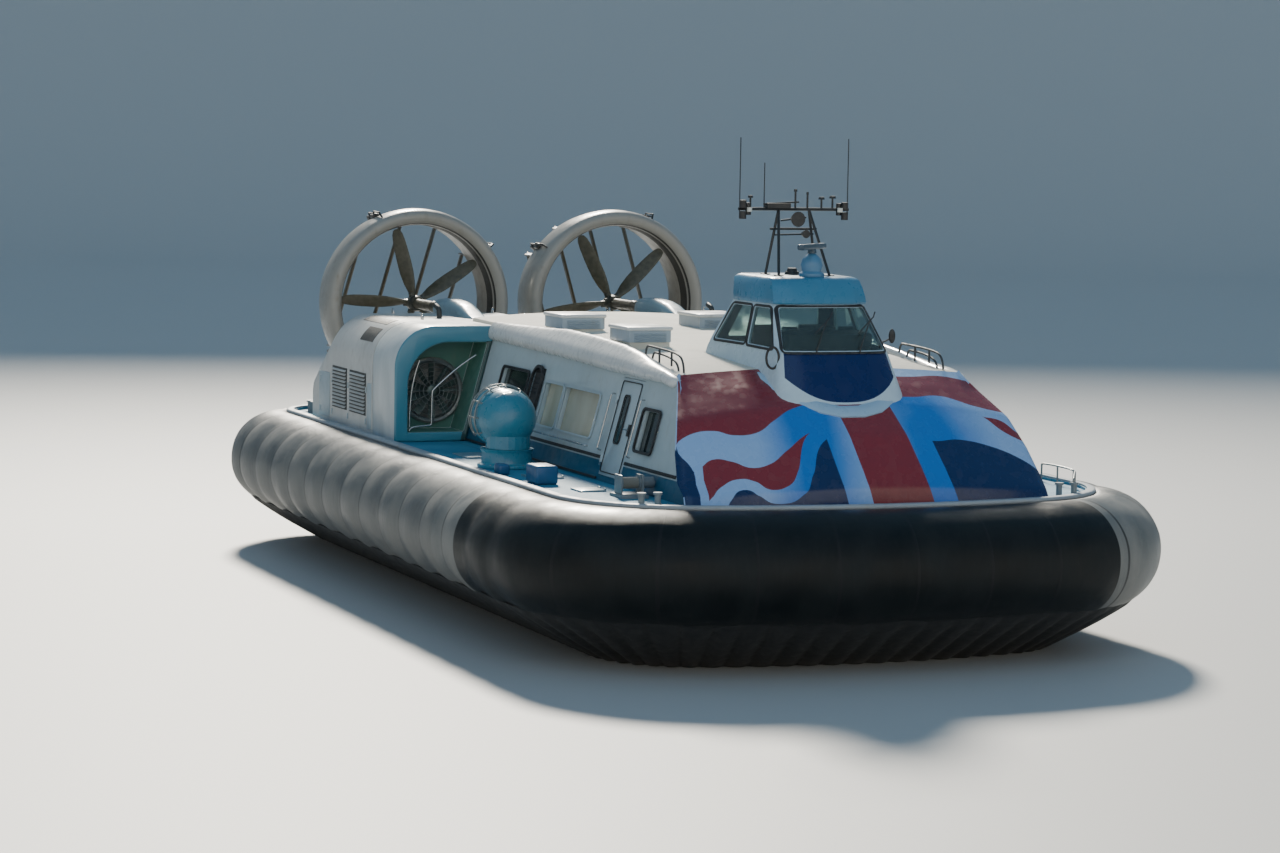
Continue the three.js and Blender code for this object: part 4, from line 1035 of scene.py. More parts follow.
def flag_finish():
    """Gloss paint in waving bands: a red upright with white edges, and red and blue fields beside it. Its
    white is tinted blue as painted sky-lit shade.
    """
    finish, tree, place = start_finish("flag_paint", 0.3, 0.0, 0.15)
    own = tree.nodes.new("ShaderNodeUVMap")
    own.uv_map = "slope"
    across, down, _ = split(tree, own.outputs["UV"])
    m = lambda operation, *values: figure(tree, operation, *values)
    above = lambda line: m("LESS_THAN", down, line)
    edge = lambda *points: curve_edge(tree, across, points)
    red = (0.20, 0.020, 0.030)
    blue = (0.0005, 0.016, 0.085)
    # The whites here are tinted blue as painted sky-lit shade.
    skirt_white_in_painted_shade = (0.34, 0.50, 0.76)
    grain = cloudy(tree, stretched(tree, place, (0.5, 0.45, 0.6)), 1.3, 0.35, 0.65, 2.0)
    near = lambda centre, reach: m(
        "SUBTRACT", 1.0, m("MULTIPLY", m("ABSOLUTE", m("SUBTRACT", across, centre)), 1 / reach)
    )
    azure = m("MAXIMUM", m("MAXIMUM", near(0.36, 0.15), near(0.72, 0.20)), 0.0)
    azure = m("MULTIPLY", azure, m("MULTIPLY_ADD", grain, 0.5, 1.1))
    # Painted shade: the white bands are light blue, and deepen to azure across two places.
    white = blended(tree, m("MINIMUM", azure, 1.0), (0.26, 0.44, 0.76), (0.001, 0.16, 0.56))

    left_red = edge(
        (0.0, 0.442), (0.04, 0.404), (0.098, 0.408), (0.152, 0.446), (0.21, 0.45), (0.268, 0.396),
        (0.33, 0.342), (1.0, 0.2),
    )
    wave_top = edge(
        (0.0, 0.66), (0.062, 0.588), (0.09, 0.558), (0.138, 0.583), (0.19, 0.629), (0.23, 0.621),
        (0.285, 0.558), (0.36, 0.475), (1.0, 0.3),
    )
    wave_foot = edge(
        (0.0, 1.0), (0.052, 0.94), (0.07, 0.87), (0.103, 0.75), (0.152, 0.692), (0.19, 0.729),
        (0.233, 0.815), (0.273, 0.787), (0.307, 0.662), (0.36, 0.475), (1.0, 0.3),
    )
    field_top = edge(
        (0.0, 1.0), (0.10, 1.0), (0.12, 0.91), (0.155, 0.80), (0.193, 0.867), (0.25, 0.965),
        (0.315, 0.867), (0.345, 0.696), (0.398, 0.517), (1.0, 0.3),
    )
    left = blended(tree, above(field_top), blue, white)
    left = blended(tree, above(wave_foot), left, red)
    left = blended(tree, m("LESS_THAN", across, 0.05), left, blue)
    left = blended(tree, m("LESS_THAN", m("ABSOLUTE", m("SUBTRACT", across, 0.052)), 0.011), left, white)
    left = blended(tree, above(m("MINIMUM", wave_top, m("MULTIPLY_ADD", across, 3.5, 0.47))), left, white)
    left = blended(tree, above(left_red), left, red)
    left = blended(tree, m("LESS_THAN", across, -0.004), left, skirt_white_in_painted_shade)
    off_corner = m("SUBTRACT", down, 0.66)
    low_corner = m(
        "LESS_THAN", across,
        m("SUBTRACT", 0.043, m("MULTIPLY", m("MULTIPLY", off_corner, off_corner), 1.5)),
    )
    left = blended(tree, low_corner, left, blue)

    right_red = edge((0.0, 0.3), (0.723, 0.263), (0.833, 0.237), (0.91, 0.283), (1.0, 0.305))
    right_field = edge(
        (0.0, 0.4), (0.718, 0.521), (0.785, 0.504), (0.873, 0.521), (0.95, 0.571), (1.0, 0.65)
    )
    ribbon_top = edge((0.0, 0.1), (0.907, 0.354), (0.96, 0.362), (0.988, 0.412), (1.0, 0.43))
    ribbon_foot = edge((0.0, 0.0), (0.905, 0.352), (0.948, 0.425), (1.0, 0.47))
    right = blended(tree, above(right_field), blue, white)
    ribbon = m("MULTIPLY", m("SUBTRACT", 1.0, above(ribbon_top)), above(ribbon_foot))
    right = blended(tree, ribbon, right, red)
    right = blended(tree, above(right_red), right, red)
    right = blended(
        tree, above(edge((0.0, 0.1), (0.78, 0.08), (0.915, 0.05), (1.0, 0.08))), right, skirt_white_in_painted_shade
    )

    middle = m("MULTIPLY_ADD", down, 0.0693, 0.5176)
    off_middle = m("ABSOLUTE", m("SUBTRACT", across, middle))
    colour = blended(tree, m("GREATER_THAN", across, middle), left, right)
    colour = blended(tree, m("LESS_THAN", off_middle, 0.152), colour, white)
    colour = blended(tree, m("LESS_THAN", off_middle, 0.084), colour, red)
    dust = cloudy(tree, place, 5.0, 0.5, 0.8, 9.0)
    colour = blended(tree, m("MULTIPLY", dust, 0.03), colour, (0.32, 0.33, 0.34))
    coloured(tree, colour)
    rough_between(tree, dust, 0.26, 0.45)
    raised(tree, (cloudy(tree, place, 1.5, 0.3, 0.7, 2.0), 0.01), (dust, 0.0008))
    return finish


slope = bmesh.new()
bmesh.ops.create_grid(slope, x_segments=68, y_segments=48, size=1.0)
bmesh.ops.scale(slope, verts=slope.verts, vec=(1.0 + EDGE_ROLL, 1, 1))
layer = slope.loops.layers.uv.new("slope")
for face in slope.faces:
    for loop in face.loops:
        loop[layer].uv = ((loop.vert.co.x + 1) / 2, (1 - loop.vert.co.y) / 2)
for vert in slope.verts:
    vert.co = slope_point(vert.co.x, (1 - vert.co.y) / 2)
for _ in range(3):
    inner = [v for v in slope.verts if not v.is_boundary]
    bmesh.ops.smooth_vert(slope, verts=inner, factor=0.5, use_axis_x=True, use_axis_z=True)


def under_wheelhouse(point):
    """Inside the foot of the wheelhouse walls, where the slope is left open."""
    return point.x < 8.62 and abs(point.y) < 1.16 and point.z > 4.45


covered = [f for f in slope.faces if all(under_wheelhouse(v.co) for v in f.verts)]
bmesh.ops.delete(slope, geom=covered, context="FACES")
bmesh.ops.recalc_face_normals(slope, faces=slope.faces)
thickened(slope, SLOPE_THICK)
show("front_slope", slope, flag_finish(), replaces=("cabin_front_slope",), sharp=45)

# Wheelhouse. A moulded house with a round nose, glazed all round, that stands through the slope on a
# white fairing ring. Its front panel is dark blue and its flanks are white.
HOUSE_LEVELS = (
    # height, front x, back x, half width at the front and at the back
    (4.40, 8.97, 5.05, 1.26, 1.40),
    (4.88, 8.71, 5.23, 1.175, 1.335),
    (5.35, 8.46, 5.40, 1.09, 1.27),
    (5.75, 8.11, 5.65, 0.995, 1.135),
    (6.15, 7.76, 5.90, 0.90, 1.0),
)
HOUSE_WALL = 0.06
PANES = (
    # outline in x or y, and z: a windscreen, a rear screen and two lights to a side
    ("X", ((-0.985, 5.36), (0.985, 5.36), (0.82, 6.09), (-0.82, 6.09))),
    ("-X", ((-0.90, 5.45), (0.90, 5.45), (0.76, 6.05), (-0.76, 6.05))),
    ("Y", ((7.06, 5.42), (8.06, 5.40), (7.50, 6.07), (6.93, 6.07))),
    ("Y", ((5.70, 5.43), (6.94, 5.43), (6.81, 6.07), (6.08, 6.07))),
)
PANE_REACH = {"X": (7.3, 9.2), "-X": (4.9, 6.4), "Y": (-2.0, 2.0)}
PANE_CORNER = 0.05


def house_outline(z, skin):
    """The plan of the wheelhouse at a height, set in by a skin, from the tail round to the nose."""
    row = max(i for i in range(len(HOUSE_LEVELS) - 1) if HOUSE_LEVELS[i][0] <= z + 0.001)
    below, above = HOUSE_LEVELS[row], HOUSE_LEVELS[row + 1]
    part = (z - below[0]) / (above[0] - below[0])
    front, back, half_front, half_back = (a + (b - a) * part for a, b in zip(below[1:], above[1:]))
    half_front -= skin
    half_back -= skin
    front -= skin
    back += skin
    side = [
        (back, 0.0), (back, half_back * 0.80), (back + 0.03, half_back * 0.93), (back + 0.10, half_back)
    ]
    side += [(front - 0.55, half_front * 1.03), (front - 0.36, half_front)]
    for step in range(1, 8):
        turn = math.radians(90 - step * 90 / 7)
        y = half_front * math.sin(turn) ** 0.55
        side.append((front - 0.36 + 0.36 * math.cos(turn) ** 0.9 if turn > 0.001 else front, y))
    side[-1] = (front, 0.0)
    return side + [(x, -y) for x, y in side[-2:0:-1]]


def house_shape(skin, low, high):
    """A closed solid of the wheelhouse between two heights."""
    bm = bmesh.new()
    levels = [low + (high - low) * i / 8 for i in range(9)]
    rings = []
    for z in levels:
        held = min(max(z, HOUSE_LEVELS[0][0]), HOUSE_LEVELS[-1][0])
        rings.append(joined_edges(bm, [Vector((x, y, z)) for x, y in house_outline(held, skin)], True))
    lofted(bm, rings)
    return bm


def cutter_prism(axis, outline, near, far, grow):
    """A block with rounded corners drawn in Y and Z or X and Z, and run along the other axis."""
    bm = bmesh.new()
    cy = sum(a for a, _ in outline) / len(outline)
    cz = sum(z for _, z in outline) / len(outline)
    spread = [(a + math.copysign(grow, a - cy), z + math.copysign(grow, z - cz)) for a, z in outline]
    if axis.endswith("X"):
        face = bm.faces.new([bm.verts.new((near, a, z)) for a, z in spread])
        push = Vector((far - near, 0, 0))
    else:
        face = bm.faces.new([bm.verts.new((a, near, z)) for a, z in spread])
        push = Vector((0, far - near, 0))
    bmesh.ops.bevel(
        bm, geom=face.verts[:], offset=PANE_CORNER + grow, segments=4, profile=0.5, affect="VERTICES",
        material=-1,
    )
    grown = bmesh.ops.extrude_face_region(bm, geom=bm.faces[:])["geom"]
    bmesh.ops.translate(bm, verts=[g for g in grown if isinstance(g, bmesh.types.BMVert)], vec=push)
    bmesh.ops.recalc_face_normals(bm, faces=bm.faces)
    return bm


def carved(bm, cuts, operation="DIFFERENCE"):
    """A mesh with other meshes cut out of it in turn."""
    def as_object(name, source):
        mesh = bpy.data.meshes.new(name)
        source.to_mesh(mesh)
        made = bpy.data.objects.new(name, mesh)
        bpy.context.scene.collection.objects.link(made)
        return made

    body = as_object("carving", bm)
    tools = [as_object("cutter", cut) for cut in cuts]
    for tool in tools:
        cut = body.modifiers.new("cut", "BOOLEAN")
        cut.object = tool
        cut.operation = operation
        cut.solver = "EXACT"
    bpy.context.view_layer.update()
    done = bmesh.new()
    done.from_mesh(body.evaluated_get(bpy.context.evaluated_depsgraph_get()).to_mesh())
    for used in [body, *tools]:
        bpy.data.objects.remove(used)
    return done


def pane_cuts(grow=0.0):
    """Blocks through each window opening, wider by a growth."""
    return [cutter_prism(axis, outline, *PANE_REACH[axis], grow) for axis, outline in PANES]


def house_paint():
    """White flanks, tinted blue as painted sky-lit shade, and a dark blue front panel with a curved lower
    edge, in one gloss paint.
    """
    finish, tree, place = start_finish("wheelhouse_paint", 0.28, 0.0, 0.15)
    m = lambda operation, *values: figure(tree, operation, *values)
    x, y, z = split(tree, place)
    wear = cloudy(tree, place, 3.5, 0.4, 0.75, 9.0)
    away = m("ABSOLUTE", y)
    low_edge = m("ADD", 4.485, m("MULTIPLY", m("POWER", away, 2.6), 0.36))
    in_front = m("LESS_THAN", away, m("ADD", 0.985, m("MULTIPLY", m("SUBTRACT", 5.35, z), 0.16)))
    ahead = m("GREATER_THAN", x, m("SUBTRACT", 8.25, m("MULTIPLY", m("SUBTRACT", z, 5.0), 0.6)))
    below = m("LESS_THAN", z, 5.33)
    panel = m(
        "MULTIPLY", m("MULTIPLY", in_front, below), m("MULTIPLY", ahead, m("GREATER_THAN", z, low_edge))
    )
    # Painted shade: the white flanks are tinted blue.
    white = blended(tree, wear, (0.52, 0.66, 0.76), (0.45, 0.58, 0.69))
    colour = blended(tree, panel, white, (0.0004, 0.010, 0.085))
    coloured(tree, colour)
    rough_between(tree, wear, 0.22, 0.48)
    raised(tree, (cloudy(tree, place, 2.0, 0.3, 0.7, 2.0), 0.006), (wear, 0.0006))
    return finish


walls = carved(house_shape(0.0, 4.402, 6.149), [house_shape(HOUSE_WALL, 4.47, 6.3), *pane_cuts()])
show(
    "wheelhouse_walls", walls, house_paint(), replaces=("wheelhouse_body",), sharp=32
)

# Black surrounds lie on the outside of the walls, wider than each opening.


def added(bm, extra):
    """Copies one shape into another."""
    mesh = bpy.data.meshes.new("copied")
    extra.to_mesh(mesh)
    bm.from_mesh(mesh)


band = carved(house_shape(-0.012, 4.9, 6.145), [house_shape(0.004, 4.8, 6.3)])
frames = bmesh.new()
for wide_cut, narrow_cut in zip(pane_cuts(0.055), pane_cuts(-0.012)):
    ring = carved(carved(band.copy(), [wide_cut], operation="INTERSECT"), [narrow_cut])
    added(frames, ring)
show("wheelhouse_surrounds", frames, window_rubber, sharp=40)


def screen_glass():
    """Clear laminated glass with a faint green tint that drifts in tone."""
    finish, tree, place = start_finish("screen_glass", 0.03)
    haze = cloudy(tree, stretched(tree, place, (1.0, 1.0, 0.5)), 5.0, 0.4, 0.8, 8.0)
    coloured(tree, blended(tree, haze, (0.50, 0.64, 0.62), (0.56, 0.69, 0.67)))
    shader = tree.nodes["Principled BSDF"]
    shader.inputs["Transmission Weight"].default_value = 0.96
    shader.inputs["IOR"].default_value = 1.45
    rough_between(tree, haze, 0.02, 0.10)
    return finish


glazing = carved(house_shape(HOUSE_WALL - 0.045, 5.2, 6.14), [house_shape(HOUSE_WALL - 0.039, 5.1, 6.3)])
panes = bmesh.new()
for cut in pane_cuts(-0.002):
    pane = carved(glazing.copy(), [cut], operation="INTERSECT")
    added(panes, pane)
clear = screen_glass()
show("wheelhouse_panes", panes, clear, replaces=("wheelhouse_glass",), sharp=40)

# Dark trim inside the walls and overhead, and a padded dash below the windscreen.
trim_dark = rubber_finish("wheelhouse_trim", (0.016, 0.018, 0.019))
hollow = house_shape(HOUSE_WALL + 0.014, 4.65, 6.115)
lining = carved(house_shape(HOUSE_WALL + 0.002, 4.75, 6.145), [hollow, *pane_cuts(-0.004)])
dash = block(lining, (0.60, 1.62, 0.50), (7.82, 0, 5.43))
for vert in dash:
    if vert.co.x > 7.9:
        vert.co.z -= 0.05
show("wheelhouse_lining", lining, trim_dark, sharp=40)

# White fairing ring round the nose's foot, a moulded collar that covers the joint with the slope.
FAIRING = (
    # y, centre height of the ring on the nose, size of its section
    (1.26, 4.95, 0.15),
    (1.24, 4.86, 0.50),
    (1.12, 4.72, 0.90),
    (0.86, 4.53, 1.0),
    (0.52, 4.40, 1.0),
    (0.20, 4.34, 1.0),
)


def slope_under(y, z):
    """The slope's x at a place across it and a height."""
    t_low, t_high = 0.0, 1.0
    for _ in range(24):
        t = (t_low + t_high) / 2
        here = slope_point(y / cabin_y(4.6), t)
        if here.z > z:
            t_low = t
        else:
            t_high = t
    return here.x


ring_half = [Vector((slope_under(y, z), y, z)) for y, z, _ in FAIRING]
ring_sizes = [size for *_, size in FAIRING]
ring_sizes += ring_sizes[::-1]
ring_path = ring_half + [Vector((p.x, -p.y, p.z)) for p in reversed(ring_half)]
fairing = bmesh.new()
collar = [(-0.14, -0.05), (0.15, -0.05), (0.15, 0.01), (0.10, 0.035), (-0.08, 0.045), (-0.14, 0.02)]
stations = []
for i, point in enumerate(ring_path):
    along = (ring_path[min(i + 1, len(ring_path) - 1)] - ring_path[max(i - 1, 0)]).normalized()
    out_of_slope = Vector((0.55, 0.12 * point.y, 0.83)).normalized()
    out_of_slope = (out_of_slope - along * out_of_slope.dot(along)).normalized()
    across = out_of_slope.cross(along)
    turn = Matrix((across, out_of_slope, along)).transposed().to_4x4()
    size = ring_sizes[i]
    stations.append(Matrix.Translation(point) @ turn @ Matrix.Diagonal((size, size, 1, 1)))
swept(fairing, collar, stations)
# The white fairing is coloured blue as painted sky-lit shade.
fairing_paint = plate_paint("fairing_white_painted_shade", (0.36, 0.55, 0.74), 0.34, dirt=0.1)
show("wheelhouse_fairing", fairing, fairing_paint, sharp=55)

# Wheelhouse roof. A moulded cap with a deep bevelled brow, its bolted joint hidden under the brow.
CAP = (
    # height, front x, back x, half width at the front and at the back
    (6.152, 7.79, 5.87, 0.92, 1.02),
    (6.18, 7.80, 5.85, 0.925, 1.025),
    (6.28, 7.77, 5.81, 0.918, 1.01),
    (6.43, 7.69, 5.74, 0.90, 0.97),
    (6.555, 7.60, 5.66, 0.875, 0.925),
    (6.60, 7.54, 5.69, 0.84, 0.875),
    (6.62, 7.46, 5.75, 0.79, 0.82),
)
cap = bmesh.new()
loops = []
for z, front, back, half_front, half_back in CAP:
    side = [
        (front, 0.0), (front, 0.62 * half_front), (front - 0.05, 0.76 * half_front),
        (front - 0.17, half_front * 0.985),
    ]
    side += [
        (front - 0.30, half_front), (back + 0.20, half_back), (back + 0.07, half_back * 0.95),
        (back, 0.72 * half_back), (back, 0.0),
    ]
    outline = side + [(x, -y) for x, y in side[-2:0:-1]]
    loops.append(joined_edges(cap, [Vector((x, y, z)) for x, y in outline], True))
lofted(cap, loops)
cap_paint = plate_paint("wheelhouse_cap_blue", (0.055, 0.22, 0.38), 0.34, dirt=0.08, coat=0.15)
show("wheelhouse_cap", cap, cap_paint, replaces=("wheelhouse_roof",), sharp=28)

# Fittings of the wheelhouse: two wipers, a wing mirror and a ring handle.
fittings = []
for y in (-0.42, 0.42):
    fittings.append([(8.47, y, 5.31), (8.49, y, 5.40), (8.20, y + 0.30, 5.86)])
    fittings.append([(8.30, y + 0.04, 5.66), (8.14, y + 0.40, 5.94), (8.08, y + 0.46, 6.03)])
tubes("windscreen_wipers", fittings, 0.012, window_rubber, smooth=False)
mirror = bmesh.new()
bmesh.ops.create_uvsphere(mirror, u_segments=20, v_segments=12, radius=1.0)
bmesh.ops.scale(mirror, verts=mirror.verts, vec=(0.04, 0.065, 0.13))
bmesh.ops.translate(mirror, verts=mirror.verts, vec=(8.18, 1.18, 5.60))
show("wing_mirror", mirror, window_rubber)
arms = [[(8.02, 0.98, 5.46), (8.12, 1.10, 5.50), (8.18, 1.17, 5.58)]]
tubes("wing_mirror_arm", arms, 0.014, window_rubber)
turns = [i * math.pi / 12 for i in range(25)]
ring_points = [(8.30, -1.19 - 0.12 * math.cos(a), 5.24 + 0.19 * math.sin(a)) for a in turns]
tubes("side_ring_handle", [ring_points], 0.022, window_rubber)

# Mast. Welded black tube in two A-frames with cross bars, carrying whips, lamps and aerials.
MAST_X = 6.37
BAR_Z = 7.81
mast_black = plate_paint("mast_black", (0.018, 0.02, 0.022), 0.45, stain=(0.12, 0.08, 0.05), dirt=0.25)
repaint(mast_black, "mast")
gear = bmesh.new()


def round_bar(bm, sides, radii, length, place, axis=None):
    """Adds an upright bar or cone, or one laid down by a quarter turn about an axis."""
    verts = bmesh.ops.create_cone(
        bm, cap_ends=True, segments=sides, radius1=radii[0], radius2=radii[1], depth=length
    )["verts"]
    if axis:
        turned(bm, math.pi / 2, axis, verts)
    bmesh.ops.translate(bm, verts=verts, vec=place)
    return verts


def tin(bm, place, radius, low, high, top=None):
    """An upright can, or a cone when its top differs, on a point."""
    round_bar(bm, 16, (radius, top or radius), high - low, (*place, (low + high) / 2))


MAST_AERIALS = (
    # y, height of the stem above the bar, radius of the head
    (-0.86, 0.20, 0.05),
    (0.03, 0.32, 0.035),
    (0.27, 0.27, 0.025),
    (0.55, 0.18, 0.06),
    (0.77, 0.20, 0.065),
)
for y, stem, head in MAST_AERIALS:
    tin(gear, (MAST_X, y), 0.018, BAR_Z, BAR_Z + stem)
    tin(gear, (MAST_X, y), head, BAR_Z + stem, BAR_Z + stem + 0.045, top=head * 0.8)
LAMP_CASES = (
    # y, low and high end above the bar
    (-1.03, 0.02, 0.16),
    (-1.03, -0.18, -0.04),
    (0.99, 0.0, 0.13),
    (0.99, -0.19, -0.05),
)
for y, low, high in LAMP_CASES:
    tin(gear, (MAST_X + 0.06, y), 0.065, BAR_Z + low, BAR_Z + high)
block(gear, (0.16, 0.46, 0.09), (MAST_X, -0.32, BAR_Z + 0.06))
for radius, low, high in ((0.15, 6.60, 6.68), (0.10, 6.68, 6.74)):
    tin(gear, (MAST_X + 0.05, -0.03), radius, low, high, top=radius * 0.8)
show("mast_lamp_cases", gear, mast_black)
horn = bmesh.new()
for y, z, radius, depth in ((0.03, 7.63, 0.14, 0.18), (0.20, 7.36, 0.075, 0.16)):
    round_bar(horn, 28, (radius * 0.55, radius), depth, (MAST_X + 0.06, y, z), "Y")
show("mast_horn_and_searchlight", horn, mast_black, sharp=40)
stays = [
    [(MAST_X, -0.25, 7.60), (MAST_X, 0.25, 7.66)],
    [(MAST_X, -0.36, 7.34), (MAST_X, 0.40, 7.36)],
    [(MAST_X, -0.60, BAR_Z + 0.09), (MAST_X, 0.10, BAR_Z + 0.13)],
]
tubes("mast_stays", stays, 0.016, mast_black, smooth=False)
lens = bmesh.new()
for y in (-0.90, 0.90):
    tin(lens, (MAST_X + 0.06, y), 0.05, BAR_Z - 0.05, BAR_Z + 0.03)
show(
    "mast_lamps", lens, dark_pane_finish("lamp_lens", (0.75, 0.78, 0.74), (0.55, 0.58, 0.55)),
)

# Radar. A cast pedestal in blue-grey with the scanner's dark moulded bar turning on its neck.
SCANNER_X = 7.23
NECK_Z = 7.041
pedestal_paint = plate_paint("pedestal_grey", (0.08, 0.22, 0.38), 0.4, dirt=0.15)
softened("radar_foot", "radar_pedestal", pedestal_paint, 0.012)
bar_shell = bmesh.new()
block(bar_shell, (0.135, 1.21, 0.105), (SCANNER_X, 0, NECK_Z + 0.12), (math.radians(46), "Z"))
eased(bar_shell, 0.035, 4)
tin(bar_shell, (SCANNER_X, 0.0), 0.085, NECK_Z + 0.004, NECK_Z + 0.089, top=0.07)
scanner_paint = plate_paint("scanner_grey", (0.04, 0.08, 0.12), 0.4, dirt=0.25)
show("radar_bar", bar_shell, scanner_paint, "radar_scanner", 40, ("radar_scanner",))

# Fan rooms. An arched foam shell beside the aft cabin, open to the front. Its recess is lined in
# dark green, and a lift fan turns in the bulkhead behind a welded wire guard.
FAN_FORE = -2.4
FAN_BULKHEAD = -3.3
FAN_AFT = -3.9996
FAN_OUTER = 4.85
FAN_TOP = 5.15
FAN_X = -3.21
FAN_Y = 3.82
FAN_Z = 3.78
FAN_BLADES = 10
GUARD_X = -3.07
RAIL_X = -2.52
BELL = (
    # x, radius of the bell mouth
    (-3.37, 0.585),
    (-3.30, 0.58),
    (-3.27, 0.585),
    (-3.245, 0.605),
    (-3.235, 0.64),
    (-3.245, 0.665),
    (-3.275, 0.67),
)
SPOKE = ((-3.062, 0.12), (-3.062, 0.62), (-3.24, 0.645))
RECESS_RAILS = (
    # y, z of each bend
    (
        (4.50, 3.02), (4.50, 3.10), (4.05, 3.12), (4.03, 3.16), (4.03, 3.80), (4.0, 3.86), (3.42, 4.36),
        (3.10, 4.55),
    ),
    ((4.50, 3.10), (4.52, 3.90), (4.30, 4.45)),
)
FAN_SECTIONS = (
    # radius, chord, thickness, pitch angle
    (0.12, 0.13, 0.11, 50),
    (0.28, 0.15, 0.11, 38),
    (0.44, 0.155, 0.11, 30),
    (0.566, 0.14, 0.11, 26),
)
FAN_FOIL = ((0.5, 0.0), (0.25, 0.10), (-0.1, 0.14), (-0.5, 0.03), (-0.1, 0.02), (0.25, -0.01))
FAN_HUB = (
    # x, radius
    (-0.22, 0.0),
    (-0.22, 0.04),
    (-0.055, 0.04),
    (-0.055, 0.13),
    (0.03, 0.13),
    (0.055, 0.115),
    (0.068, 0.08),
    (0.07, 0.0),
)


def room_arch(inset):
    """The outline of the fan room in Y and Z, set in by a distance."""
    return [
        (cabin_y(2.81 + inset) + 0.0006 + 0.6 * inset, 2.801 + inset),
        (FAN_OUTER - inset, 2.801 + inset),
        *arc_points(4.0, 4.30, 0.85 - inset, 0, 90, 16),
        (cabin_y(FAN_TOP - inset) + 0.0006 + 0.6 * inset, FAN_TOP - inset),
    ]


def mouth_arch(inset):
    """The outline of the opening in Y and Z."""
    return [
        (cabin_y(2.99) + 0.09 + inset, 2.99 + inset),
        (4.57 - inset, 2.99 + inset),
        *arc_points(3.70, 3.95, 0.87 - inset, 0, 90, 16),
        (cabin_y(4.82) + 0.09 + inset, 4.82 - inset),
    ]


def prism_along_x(outline, aft, fore):
    """A solid with an outline in Y and Z between two places along the craft."""
    bm = bmesh.new()
    face = bm.faces.new([bm.verts.new((aft, y, z)) for y, z in outline])
    grown = bmesh.ops.extrude_face_region(bm, geom=[face])["geom"]
    bmesh.ops.translate(
        bm, verts=[g for g in grown if isinstance(g, bmesh.types.BMVert)], vec=(fore - aft, 0, 0)
    )
    bmesh.ops.recalc_face_normals(bm, faces=bm.faces)
    return bm


def fan_cut(radius):
    """A round cutter through the bulkhead on the fan's axis."""
    bm = bmesh.new()
    round_bar(bm, 64, (radius, radius), 0.5, (-3.25, FAN_Y, FAN_Z), "Y")
    return bm


def handed(bm, hand):
    """Mirrors a port shape to its side."""
    bmesh.ops.scale(bm, verts=bm.verts, vec=(1, hand, 1))
    return bm


def moved(bm, x, y, z):
    """Moves a whole shape."""
    bmesh.ops.translate(bm, verts=bm.verts, vec=(x, y, z))
    return bm


def spun(profile, steps, closed=False):
    """A new shape: a line of (x, radius) pairs spun once round the X axis."""
    bm = bmesh.new()
    line = joined_edges(bm, [Vector((x, 0, r)) for x, r in profile], closed)
    bmesh.ops.spin(
        bm, geom=line + bm.verts[:], cent=(0, 0, 0), axis=(1, 0, 0), angle=math.tau, steps=steps,
        use_merge=True,
    )
    bmesh.ops.remove_doubles(bm, verts=bm.verts, dist=0.0002)
    bmesh.ops.recalc_face_normals(bm, faces=bm.faces)
    return bm


def ray(hand, y, z, angle, pairs):
    """Points at (x, radius) pairs on one ray out from an axis along X."""
    c, s = math.cos(angle), math.sin(angle)
    return [(x, hand * (y + r * c), z + r * s) for x, r in pairs]


def hoop(hand, x, y, z, radius, angles):
    """Points round an axis along X."""
    return [(x, hand * (y + radius * math.cos(a)), z + radius * math.sin(a)) for a in angles]


def bladed(wheel, section, rows, angles):
    """Adds a blade at each angle: a section carried out through radius, chord, thickness and pitch."""
    for angle in angles:
        stations = []
        for radius, chord, thick, pitch in rows:
            turn = Matrix.Rotation(math.radians(90 - pitch), 4, "Z")
            stations.append(
                Matrix.Translation((0, 0, radius)) @ turn @ Matrix.Diagonal((chord, thick, 1, 1))
            )
        blade = bmesh.new()
        swept(blade, section, stations)
        turned(blade, angle, "X")
        added(wheel, blade)


def shell_finish(name, near_x):
    """White gel coat, painted blue-grey on its front lip as painted shade, and near black on the inboard
    strip of the lip below the arch as painted shade of the recess.
    """
    finish, tree, place = start_finish(name, 0.35, 0.0, 0.3)
    x, y, z = split(tree, place)
    wear = cloudy(tree, stretched(tree, place, (1.0, 1.0, 0.35)), 2.2, 0.4, 0.8, 9.0)
    white = blended(tree, wear, (0.58, 0.63, 0.65), (0.46, 0.51, 0.53))
    # Painted shade: the forward-facing lip is blue-grey, and its inboard strip below the arch is near black
    # like the shaded recess.
    lip = figure(tree, "GREATER_THAN", x, near_x)
    colour = blended(tree, lip, white, (0.07, 0.24, 0.33))
    wall_y = figure(tree, "MULTIPLY_ADD", z, -CABIN_LEAN, CABIN_FOOT_Y + CABIN_LEAN * DECK_Z + 0.13)
    inboard = figure(tree, "LESS_THAN", figure(tree, "ABSOLUTE", y), wall_y)
    below_arch = figure(tree, "LESS_THAN", z, 4.84)
    dark = figure(tree, "MULTIPLY", figure(tree, "MULTIPLY", inboard, below_arch), lip)
    coloured(tree, blended(tree, dark, colour, (0.03, 0.08, 0.08)))
    rough_between(tree, wear, 0.3, 0.6)
    raised(tree, (cloudy(tree, place, 1.6, 0.3, 0.7, 2.0), 0.008), (wear, 0.001))
    return finish


fan_shell = shell_finish("fan_room_shell", FAN_FORE - 0.05)
recess_green = plate_paint("recess_green", (0.09, 0.24, 0.20), 0.5, dirt=0.15)
fan_metal = plate_paint("fan_metal", (0.14, 0.19, 0.18), 0.35, dirt=0.3, metallic=0.6)
guard_steel = plate_paint("guard_steel", (0.26, 0.28, 0.28), 0.4, dirt=0.3, metallic=0.6)

